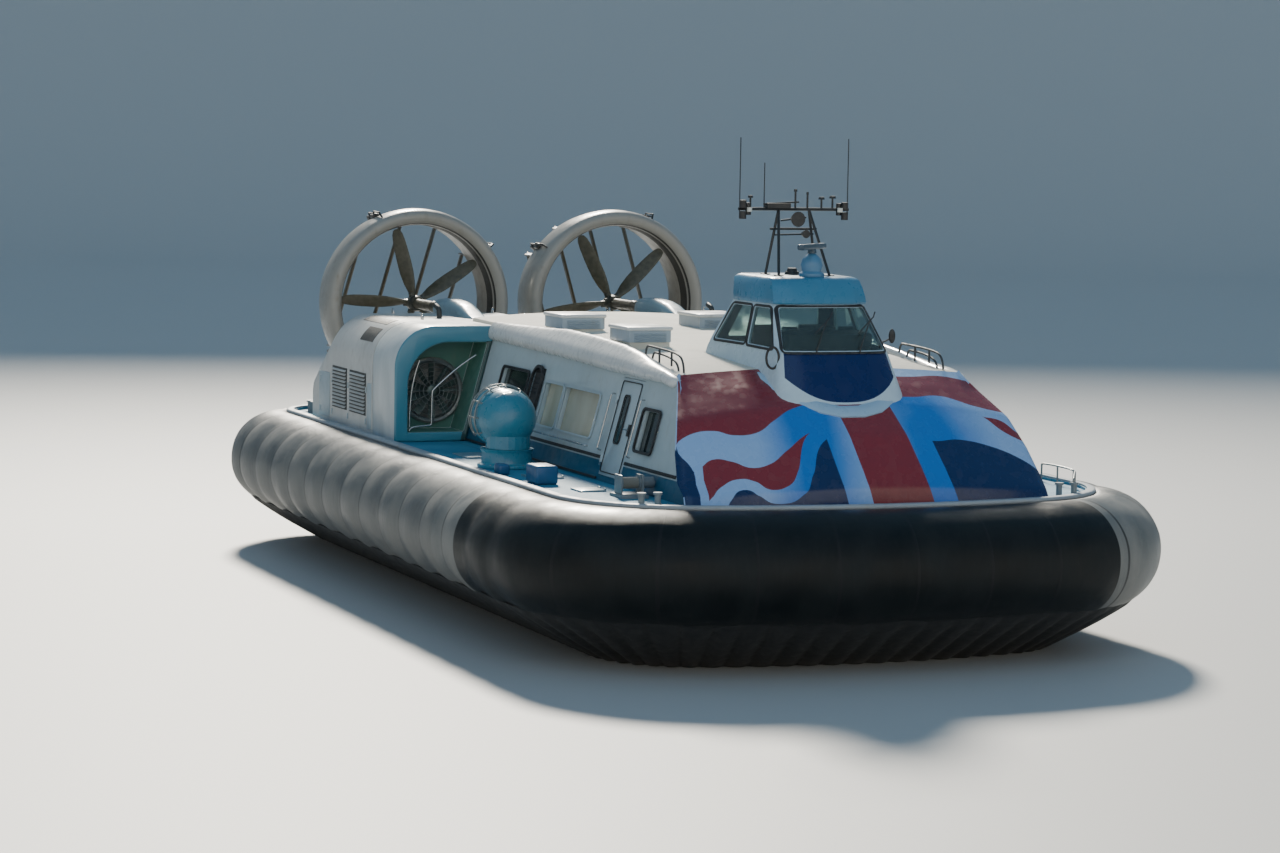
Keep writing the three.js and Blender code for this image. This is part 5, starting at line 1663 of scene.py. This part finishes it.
for side, hand in SIDES:
    room = carved(prism_along_x(room_arch(0), FAN_AFT, FAN_FORE), [
        prism_along_x(mouth_arch(0), FAN_BULKHEAD, FAN_FORE + 0.1),
        prism_along_x(mouth_arch(0), FAN_AFT - 0.1, FAN_BULKHEAD - 0.08),
        fan_cut(0.6),
    ])
    rounded_over(room, 0.04, 35.0, 3, 0.2)
    show(f"fan_room_shell_{side}", handed(room, hand), fan_shell,
         replaces=(f"fan_room_{side}",), sharp=40)

    # Lining of the recess: a folded sheet round its walls, and a plate with the fan's round mouth.
    lining = carved(prism_along_x(mouth_arch(0.002), FAN_BULKHEAD + 0.001, FAN_FORE - 0.07), [
        prism_along_x(mouth_arch(0.010), FAN_BULKHEAD + 0.010, FAN_FORE),
        fan_cut(0.59),
    ])
    show(f"fan_recess_lining_{side}", handed(lining, hand), recess_green, sharp=40)

    # The fan's spider, its bell mouth and a guard of rings and spokes.
    spider = bmesh.new()
    for quarter in range(4):
        arm = block(spider, (0.05, 0.05, 0.62), (0, 0, 0.33))
        turned(spider, quarter * math.pi / 2, "X", arm)
        bmesh.ops.translate(spider, verts=arm, vec=(-3.345, FAN_Y, FAN_Z))
    round_bar(spider, 32, (0.09, 0.09), 0.15, (-3.385, FAN_Y, FAN_Z), "Y")
    show(f"fan_spider_{side}", handed(spider, hand), fan_metal, sharp=40)

    bell = moved(thickened(spun(BELL, 72), 0.012), 0, FAN_Y, FAN_Z)
    show(f"fan_bell_mouth_{side}", handed(bell, hand), guard_steel)

    turns = [i * math.tau / 36 for i in range(37)]
    rings = [hoop(hand, GUARD_X, FAN_Y, FAN_Z, r, turns) for r in (0.13, 0.22, 0.31, 0.40, 0.49, 0.58)]
    for spoke in range(12):
        rings.append(ray(hand, FAN_Y, FAN_Z, spoke * math.tau / 12, SPOKE))
    tubes(f"fan_guard_{side}", rings, 0.007, guard_steel, smooth=False)

    # Bent rail frame across the recess's mouth, bolted to its sill.
    frame_lines = [[(RAIL_X, hand * y, z) for y, z in line] for line in RECESS_RAILS]
    tubes(f"recess_rail_{side}", frame_lines, 0.018, bright_steel)

    # The lift fan: ten twisted blades on a spun hub, on its own shaft.
    wheel = bmesh.new()
    bladed(
        wheel, FAN_FOIL, FAN_SECTIONS, [number * math.tau / FAN_BLADES for number in range(FAN_BLADES)]
    )
    added(wheel, spun(FAN_HUB, 48))
    moved(wheel, FAN_X, FAN_Y, FAN_Z)
    show(f"lift_fan_wheel_{side}", handed(wheel, hand), fan_metal, f"lift_fan_{side}", 40,
         (f"lift_fan_{side}",))

# Engine rooms. Foam shells with a rounded shoulder that fall away towards the ducts. Each has air
# louvres backed by dark sheets of painted shade, hinged hatches and lifting eyes, and the diesel's block sits
# inside.
ROOM_STATIONS = (
    # x, top height, shoulder radius
    (-4.0004, 5.15, 0.85),
    (-6.80, 5.15, 0.85),
    (-7.00, 5.135, 0.84),
    (-7.20, 5.02, 0.815),
    (-8.42, 3.98, 0.51),
    (-8.475, 3.93, 0.50),
    (-8.50, 3.86, 0.48),
)
ROOM_INNER = 1.0
ROOM_OUTER = 4.85
room_paint = plate_paint("engine_room_paint", (0.64, 0.64, 0.62), 0.38, dirt=0.3, coat=0.2)
louvre_dark = rubber_finish("louvre_dark", (0.02, 0.024, 0.024))


def room_ring(x, top, radius):
    """The outline of the engine room at a place along the craft."""
    points = [(ROOM_INNER, 2.8006), (ROOM_OUTER, 2.8006)]
    points += arc_points(ROOM_OUTER - radius, top - radius, radius, 0, 90, 14)
    points += [(ROOM_INNER + 0.2, top), (ROOM_INNER + 0.06, top - 0.05), (ROOM_INNER, top - 0.2)]
    return [Vector((x, y, z)) for y, z in points]


for side, hand in SIDES:
    room = bmesh.new()
    rings = [joined_edges(room, room_ring(*row), True) for row in ROOM_STATIONS]
    lofted(room, rings)
    show(f"engine_room_shell_{side}", handed(room, hand), room_paint,
         replaces=(f"engine_room_{side}",), sharp=35)

    # Louvre panels on the outboard wall over dark sheets of painted shade, hatches between them, and dark
    # sheets of painted shade in the slots in the shoulder.
    slats = bmesh.new()
    louvre_shade_sheets = bmesh.new()
    for aft, fore in ((-5.6, -4.5), (-6.9, -5.9)):
        block(louvre_shade_sheets, (fore - aft + 0.08, 0.012, 0.88), ((aft + fore) / 2, ROOM_OUTER + 0.004, 3.60))
        for row in range(11):
            block(
                slats, (fore - aft, 0.06, 0.008),
                ((aft + fore) / 2, ROOM_OUTER + 0.022, 3.22 + 0.076 * row), (-0.7, "X"),
            )
    show(f"louvre_shade_plates_{side}", handed(louvre_shade_sheets, hand), louvre_dark)
    show(f"louvre_slats_{side}", handed(slats, hand), room_paint)

    trim = bmesh.new()
    for x, width in ((-7.55, 0.8), (-4.2, 0.28)):
        block(trim, (width, 0.02, 0.95), (x, ROOM_OUTER + 0.006, 3.38))
    eased(trim, 0.007, 2)
    for x in (-7.85, -7.25, -6.95, -5.75, -4.42):
        for z in (3.05, 3.7):
            round_bar(trim, 10, (0.014, 0.014), 0.12, (x, ROOM_OUTER + 0.018, z))
    show(f"room_hatches_{side}", handed(trim, hand), door_cream_painted_shade)

    slot_shade_sheets = bmesh.new()
    for start, end, aft, fore in ((28, 52, -5.25, -4.35), (62, 80, -6.2, -4.5)):
        curve = arc_points(4.0, 4.30, 0.856, start, end, 6)
        sheet = [slot_shade_sheets.verts.new((x, y, z)) for x in (aft, fore) for y, z in curve]
        for i in range(6):
            slot_shade_sheets.faces.new((sheet[i], sheet[i + 1], sheet[i + 8], sheet[i + 7]))
    bmesh.ops.recalc_face_normals(slot_shade_sheets, faces=slot_shade_sheets.faces)
    thickened(slot_shade_sheets, 0.012)
    show(f"shoulder_slots_{side}", handed(slot_shade_sheets, hand), louvre_dark)

    eyes = []
    for x, y in ((-4.6, 1.35), (-4.6, 3.6), (-6.7, 1.35), (-6.7, 3.6)):
        bend = ((-0.06, 5.14), (-0.06, 5.22), (0.0, 5.26), (0.06, 5.22), (0.06, 5.14))
        eyes.append([(x + along, hand * y, z) for along, z in bend])
    hand_rail = ((-8.35, 4.05), (-8.45, 4.22), (-7.2, 5.27), (-7.1, 5.12))
    eyes.append([(x, hand * 1.5, z) for x, z in hand_rail])
    tubes(f"lifting_eyes_{side}", eyes, 0.016, bright_steel)
    softened(f"engine_block_{side}", f"engine_{side}", fan_metal, 0.02)

# Propeller drives. A blue-grey hump over each toothed belt, with a spun tube that carries the shaft
# back to the propeller, louvred sides and an exhaust stub.
DUCT_Y = 2.34
DUCT_Z = 5.23
PROP_X = -9.2
drive_paint = plate_paint("drive_blue_grey", (0.21, 0.33, 0.40), 0.38, dirt=0.15, coat=0.1)
casing_olive = plate_paint("shaft_casing_olive", (0.055, 0.052, 0.036), 0.45, dirt=0.3)
DRIVE_HUMP = (
    # x, half width, top
    (-7.25, 0.15, 5.34),
    (-7.20, 0.20, 5.40),
    (-7.05, 0.235, 5.445),
    (-6.7, 0.25, 5.475),
    (-6.2, 0.25, 5.48),
    (-5.75, 0.25, 5.455),
    (-5.4, 0.245, 5.40),
    (-5.1, 0.23, 5.31),
    (-4.85, 0.20, 5.23),
    (-4.68, 0.16, 5.18),
    (-4.60, 0.12, 5.165),
)
CASING = (
    # x, radius
    (-7.0, 0.0),
    (-7.0, 0.16),
    (-7.35, 0.145),
    (-7.7, 0.118),
    (-7.72, 0.125),
    (-7.78, 0.125),
    (-7.8, 0.112),
    (-8.86, 0.108),
    (-8.88, 0.109),
    (-8.949, 0.109),
    (-8.949, 0.062),
    (-8.66, 0.062),
    (-8.66, 0.0),
)
for side, hand in SIDES:
    hump = bmesh.new()
    rings = []
    for x, half, top in DRIVE_HUMP:
        low = 5.1506
        outline = [(half, low)]
        radius = min(0.17, (top - low) * 0.85, half * 0.85)
        outline += arc_points(half - radius, top - radius, radius, 0, 90, 5)
        outline = outline + [(-y, z) for y, z in reversed(outline)]
        rings.append(joined_edges(hump, [Vector((x, DUCT_Y + y, z)) for y, z in outline], True))
    lofted(hump, rings)
    show(
        f"drive_hump_{side}", handed(hump, hand), drive_paint,
        replaces=(f"drive_housing_{side}",),
    )
    casing = moved(spun(CASING, 48), 0, DUCT_Y, DUCT_Z)
    show(f"shaft_casing_{side}", handed(casing, hand), casing_olive)
    ribs = bmesh.new()
    for x in (-6.75, -6.35, -5.95, -5.55):
        for out in (-0.252, 0.252):
            block(ribs, (0.30, 0.012, 0.03), (x, DUCT_Y + out, 5.24))
    show(f"drive_louvres_{side}", handed(ribs, hand), drive_paint)
    bends = ((-5.0, 5.12), (-5.0, 5.28), (-5.06, 5.36), (-5.25, 5.40))
    pipe = [[(x, hand * 3.1, z) for x, z in bends]]
    tubes(f"exhaust_stub_{side}", pipe, 0.055, louvre_dark, sides=5)

# Propellers. Five moulded blades with an olive finish, in a spun hub with a bolted nose cone.
# Each blade is twisted and thins out to a rounded tip.
BLADE_SECTIONS = (
    # radius, chord, thickness, pitch angle
    (0.12, 0.17, 0.110, 66),
    (0.26, 0.20, 0.090, 58),
    (0.45, 0.29, 0.062, 48),
    (0.70, 0.335, 0.048, 40),
    (0.95, 0.33, 0.038, 34),
    (1.20, 0.31, 0.030, 30),
    (1.42, 0.28, 0.024, 27),
    (1.58, 0.235, 0.018, 25),
    (1.67, 0.16, 0.012, 24),
    (1.698, 0.07, 0.007, 23.5),
)
FOIL = (
    # along the chord, across it
    (0.5, 0.0),
    (0.47, 0.20),
    (0.36, 0.42),
    (0.18, 0.52),
    (-0.05, 0.48),
    (-0.28, 0.30),
    (-0.5, 0.02),
    (-0.28, -0.16),
    (-0.05, -0.30),
    (0.18, -0.42),
    (0.36, -0.40),
    (0.47, -0.22),
)
PROP_HUB = (
    # x, radius
    (-0.23, 0.0),
    (-0.225, 0.04),
    (-0.20, 0.09),
    (-0.16, 0.13),
    (-0.10, 0.165),
    (-0.03, 0.178),
    (0.05, 0.18),
    (0.13, 0.18),
    (0.135, 0.172),
    (0.15, 0.172),
    (0.155, 0.178),
    (0.20, 0.165),
    (0.235, 0.15),
    (0.236, 0.06),
    (0.499, 0.06),
    (0.499, 0.0),
)
PROP_ANGLES = (("port", 1, 117), ("starboard", -1, 105))


def blade_finish():
    """Dark olive polyurethane, rubbed paler in fine, uneven wear."""
    finish, tree, place = start_finish("blade_olive", 0.42)
    wear = cloudy(tree, place, 9.0, 0.35, 0.8, 10.0)
    coloured(tree, blended(tree, wear, (0.045, 0.045, 0.032), (0.10, 0.098, 0.075)))
    rough_between(tree, wear, 0.35, 0.6)
    raised(tree, (wear, 0.0008))
    return finish


blade_olive = blade_finish()
hub_paint = plate_paint("hub_paint", (0.05, 0.055, 0.05), 0.35, dirt=0.2, metallic=0.4)
for side, hand, first in PROP_ANGLES:
    wheel = bmesh.new()
    turns = [math.radians(first - 90 + 72 * number) for number in range(5)]
    bladed(wheel, FOIL, BLADE_SECTIONS, turns)
    moved(wheel, PROP_X, hand * DUCT_Y, DUCT_Z)
    show(
        f"propeller_blades_{side}", wheel, blade_olive, f"propeller_{side}", 40,
        (f"propeller_{side}",),
    )

    hub = spun(PROP_HUB, 56)
    for turn in turns:
        turned(hub, turn, "X", round_bar(hub, 28, (0.082, 0.075), 0.09, (0.0, 0, 0.20)))
    for place in hoop(1, 0.24, 0, 0, 0.11, [bolt * math.tau / 10 for bolt in range(10)]):
        round_bar(hub, 6, (0.012, 0.012), 0.012, place, "Y")
    moved(hub, PROP_X, hand * DUCT_Y, DUCT_Z)
    show(f"propeller_hub_{side}", hub, hub_paint, f"propeller_{side}", 35)

# Ducts. Spun aluminium rings with a fat rounded lip in warm grey. A dark band lines the throat
# round the propeller's tips, partly a wear liner and partly painted shade cast by the lip, and each ring
# stands on a foot on the aft deck.
RIM = (
    # x, radius
    (-10.206, 1.796),
    (-10.0, 1.780),
    (-9.6, 1.751),
    (-9.3, 1.740),
    (-9.05, 1.743),
    (-8.90, 1.762),
    (-8.80, 1.804),
    (-8.735, 1.858),
    (-8.694, 1.925),
    (-8.708, 1.990),
    (-8.755, 2.044),
    (-8.85, 2.080),
    (-9.0, 2.100),
    (-9.2, 2.106),
    (-9.45, 2.080),
    (-9.7, 2.045),
    (-10.206, 1.906),
)
LINER_AND_SHADE_BAND = ((-9.30, 1.738), (-9.02, 1.741), (-8.87, 1.772), (-8.82, 1.792))
RUDDER_GEAR = (66, 143, 327)
PUSH_RODS = (
    # x, radius at the foot, the knee, the far bend and the end
    ((-9.88, 2.08), (-9.86, 2.16), (-8.98, 2.15), (-8.90, 2.07)),
    ((-9.45, 2.13), (-9.43, 2.21), (-8.98, 2.20), (-8.90, 2.07)),
)
duct_paint = plate_paint("duct_warm_grey", (0.29, 0.285, 0.265), 0.4, stain=(0.18, 0.155, 0.12), dirt=0.4)
liner_and_shade_black = rubber_finish("liner_and_shade_black", (0.02, 0.021, 0.02))

for side, hand in SIDES:
    ring = moved(spun(RIM, 120, True), 0, hand * DUCT_Y, DUCT_Z)
    show(f"duct_ring_{side}", ring, duct_paint, sharp=45)

    # Dark band behind the lip: partly wear liner, partly painted shade.
    band = moved(thickened(spun(LINER_AND_SHADE_BAND, 120), -0.006), 0, hand * DUCT_Y, DUCT_Z)
    show(f"duct_liner_and_shade_band_{side}", band, liner_and_shade_black)
    repaint(duct_paint, f"duct_{side}")

    # Brackets for the rudder gear on the ring's outside, with their push rods.
    gear = bmesh.new()
    for degrees in RUDDER_GEAR:
        for x, height, size in ((-9.88, 2.02, (0.20, 0.12, 0.17)), (-9.45, 2.10, (0.26, 0.16, 0.12))):
            lump = block(gear, size, (x, 0, height))
            turned(gear, math.radians(degrees - 90), "X", lump)
    eased(gear, 0.02, 2)
    moved(gear, 0, DUCT_Y, DUCT_Z)
    show(f"duct_brackets_{side}", handed(gear, hand), mast_black)
    rods = []
    for degrees in RUDDER_GEAR:
        for line in PUSH_RODS:
            rods.append(ray(hand, DUCT_Y, DUCT_Z, math.radians(degrees), line))
    tubes(f"rudder_push_rods_{side}", rods, 0.02, mast_black, smooth=False)

# Rudders. Thin aluminium foils on pins between the lugs of each duct, painted olive grey.
rudder_paint = plate_paint("rudder_olive", (0.12, 0.10, 0.06), 0.45, stain=(0.2, 0.16, 0.1), dirt=0.3)
for side, _ in SIDES:
    for number in range(4):
        node = f"rudder_{side}_{number + 1}"
        softened(f"{node}_skin", node, rudder_paint, 0.006, node, 40)

# Bow thrusters. An elbow of blue-grey moulding on a cast pedestal on each side deck. It turns on
# its base, and a cage of bent tube stands round its outlet.
THRUSTER = (2.70, 4.20, 3.73)
ELBOW = (
    # x, radius
    (0.56, 0.0),
    (0.555, 0.09),
    (0.53, 0.20),
    (0.475, 0.32),
    (0.40, 0.405),
    (0.28, 0.48),
    (0.14, 0.53),
    (0.0, 0.55),
    (-0.10, 0.55),
    (-0.12, 0.557),
    (-0.16, 0.557),
    (-0.18, 0.55),
    (-0.46, 0.55),
    (-0.47, 0.562),
    (-0.52, 0.562),
    (-0.522, 0.49),
    (-0.48, 0.482),
    (-0.05, 0.482),
    (0.04, 0.30),
    (0.06, 0.0),
)
thruster_paint = plate_paint("thruster_blue_grey", (0.05, 0.23, 0.34), 0.34, dirt=0.12, coat=0.15)
for side, hand in SIDES:
    tx, ty, tz = THRUSTER
    elbow = moved(spun(ELBOW, 64), tx, ty, tz)
    show(
        f"thruster_dome_{side}", handed(elbow, hand), thruster_paint, f"thruster_nozzle_{side}",
        40,
    )
    repaint(thruster_paint, f"thruster_nozzle_{side}")
    softened(
        f"thruster_pedestal_{side}", f"thruster_base_{side}", thruster_paint, 0.012
    )

    # Turning vanes in the outlet, ribs on the dome and the cage of bent tube on the moving elbow.
    vanes = bmesh.new()
    for z in (-0.30, -0.10, 0.10, 0.30):
        half = math.sqrt(0.482 ** 2 - z ** 2) - 0.004
        block(vanes, (0.20, 2 * half, 0.012), (tx - 0.40, ty, tz + z))
    show(
        f"thruster_vanes_{side}", handed(vanes, hand), louvre_dark, f"thruster_nozzle_{side}",
    )
    cage = []
    for x, radius in ((-0.16, 0.60), (-0.33, 0.62), (-0.50, 0.60)):
        turns = [math.radians(-35 + 250 * i / 24) for i in range(25)]
        cage.append(hoop(hand, tx + x, ty, tz, radius, turns))
    bar = ((-0.06, 0.552), (-0.16, 0.60), (-0.33, 0.62), (-0.50, 0.60), (-0.515, 0.56))
    for degrees in range(-30, 211, 30):
        cage.append(ray(hand, ty, tz, math.radians(degrees), [(tx + x, r) for x, r in bar]))
    tubes(f"thruster_cage_{side}", cage, 0.013, guard_steel, f"thruster_nozzle_{side}")
    bolts = bmesh.new()
    for bolt in range(20):
        a = bolt * math.tau / 20
        round_bar(
            bolts, 6, (0.017, 0.015), 0.018,
            (tx + 0.525 * math.cos(a), ty + 0.525 * math.sin(a), DECK_Z + 0.07),
        )
    show(f"thruster_bolts_{side}", handed(bolts, hand), bright_steel)

# Seats and helm. Moulded bench seats in blue cloth down both sides of the aisle, and a dark console
# with two crew seats on the wheelhouse floor.
def cloth_finish(name, colour, stripe):
    """Woven seat cloth with a fine thread pattern and worn, paler patches."""
    finish, tree, place = start_finish(name, 0.85)
    weave = cloudy(tree, stretched(tree, place, (1.0, 3.0, 1.0)), 120.0, 0.35, 0.65, 2.0)
    wear = cloudy(tree, place, 3.0, 0.35, 0.75, 8.0)
    base = blended(tree, weave, colour, stripe)
    coloured(tree, blended(tree, figure(tree, "MULTIPLY", wear, 0.35), base, (0.3, 0.33, 0.36)))
    raised(tree, (weave, 0.0015), (wear, 0.002))
    return finish


softened(
    "seat_benches", "passenger_seats",
    cloth_finish("seat_cloth", (0.03, 0.09, 0.19), (0.05, 0.13, 0.25)), 0.03,
)
softened(
    "helm_console", "helm", plate_paint("helm_dark", (0.018, 0.02, 0.023), 0.55, dirt=0.3), 0.012,
)
screens = bmesh.new()
for y in (-0.55, -0.2, 0.2, 0.55):
    block(screens, (0.03, 0.30, 0.26), (7.60, y, 5.62), (-0.45, "Y"))
eased(screens, 0.008, 2)
show("helm_screens", screens, tinted)

# Deck fittings. A towing winch and rail hoops on the fore deck, bollards at the corners, and lockers
# and hatches along the side decks. They are welded or moulded, and bolted down to the deck.
fitting_paint = plate_paint("fitting_grey", (0.20, 0.24, 0.27), 0.45, dirt=0.4)
winch = bmesh.new()
WINCH_X = 8.02
WINCH_Y = -3.75
AXLE_Z = DECK_Z + 0.25
ROPE_POINTS = 150
block(winch, (0.62, 0.50, 0.06), (WINCH_X, WINCH_Y, DECK_Z + 0.03))
for offset in (-0.2, 0.2):
    block(winch, (0.34, 0.03, 0.36), (WINCH_X, WINCH_Y + offset, DECK_Z + 0.22))
for radius, width, shift in ((0.09, 0.38, 0.0), (0.15, 0.02, 0.17), (0.15, 0.02, -0.17)):
    round_bar(winch, 32, (radius, radius), width, (WINCH_X, WINCH_Y + shift, AXLE_Z), "X")
round_bar(winch, 24, (0.10, 0.10), 0.22, (WINCH_X, WINCH_Y + 0.33, AXLE_Z), "X")
folded = [e for e in winch.edges if e.calc_face_angle(0) > 0.9]
bmesh.ops.bevel(
    winch, geom=folded, offset=0.006, segments=2, profile=0.5, affect="EDGES", clamp_overlap=True, material=-1
)
show("bow_winch", winch, fitting_paint)
coil = []
for i in range(ROPE_POINTS + 1):
    x = WINCH_X + (0.098 + 0.002 * (i % 2)) * math.cos(i * 0.7)
    y = WINCH_Y - 0.15 + 0.3 * i / ROPE_POINTS
    coil.append((x, y, AXLE_Z + 0.098 * math.sin(i * 0.7)))
tubes(
    "winch_rope", [coil], 0.009, cloth_finish("rope_grey", (0.30, 0.29, 0.25), (0.2, 0.19, 0.17)),
)

BOLLARD = (
    # radius, low, high: post, head and foot
    (0.055, 0.0, 0.24),
    (0.08, 0.22, 0.26),
    (0.095, 0.0, 0.02),
)
bollards = bmesh.new()
for hand in (-1, 1):
    for x, y in ((9.65, 4.15), (9.65, 3.85), (-9.6, 4.6), (-9.3, 4.6)):
        for radius, low, high in BOLLARD:
            tin(bollards, (x, hand * y), radius, DECK_Z + low, DECK_Z + high)
show("deck_bollards", bollards, fitting_paint, sharp=40)

LOCKERS = (
    # x, y, length, width, height
    (5.55, 4.50, 0.62, 0.42, 0.34),
    (3.95, 4.72, 0.34, 0.22, 0.20),
)
lockers = bmesh.new()
for hand in (-1, 1):
    for x, y, length, width, height in LOCKERS:
        block(lockers, (length, width, height), (x, hand * y, DECK_Z + height / 2))
eased(lockers, 0.05, 4)
show(
    "deck_lockers", lockers, plate_paint("locker_blue", (0.012, 0.10, 0.24), 0.4, dirt=0.15),
)

HALF_RAIL = 0.625
rails = []
for x, y, turn in ((9.1, 4.45, math.atan2(-0.45, 0.8)), (7.7, 4.85, 0.0)):
    cx, cy = math.cos(turn) * HALF_RAIL, math.sin(turn) * HALF_RAIL
    up = [(x - cx, y - cy, DECK_Z + rise) for rise in (0.0, 0.28, 0.34)]
    down = [(x + cx, y + cy, DECK_Z + rise) for rise in (0.34, 0.28, 0.0)]
    rails.append(up + down)
    rails.append([(x, y, DECK_Z), (x, y, DECK_Z + 0.33)])
tubes("bow_rail_hoops", rails, 0.018, guard_steel)

hatches = bmesh.new()
for hand in (-1, 1):
    for x, y, length, width in (
        (0.6, 4.15, 0.9, 0.6), (4.6, 4.15, 0.7, 0.6), (-9.2, 4.0, 0.8, 0.6), (6.9, 4.1, 0.5, 0.5)
    ):
        block(hatches, (length, width, 0.035), (x, hand * y, DECK_Z + 0.015))
        for end in (-0.3, 0.3):
            block(
                hatches, (0.10, 0.03, 0.03), (x + end * length, hand * (y - width * 0.52), DECK_Z + 0.04)
            )
eased(hatches, 0.008, 2)
show(
    "deck_hatches", hatches, plate_paint("hatch_blue_grey", (0.16, 0.30, 0.38), 0.5, dirt=0.5),
)
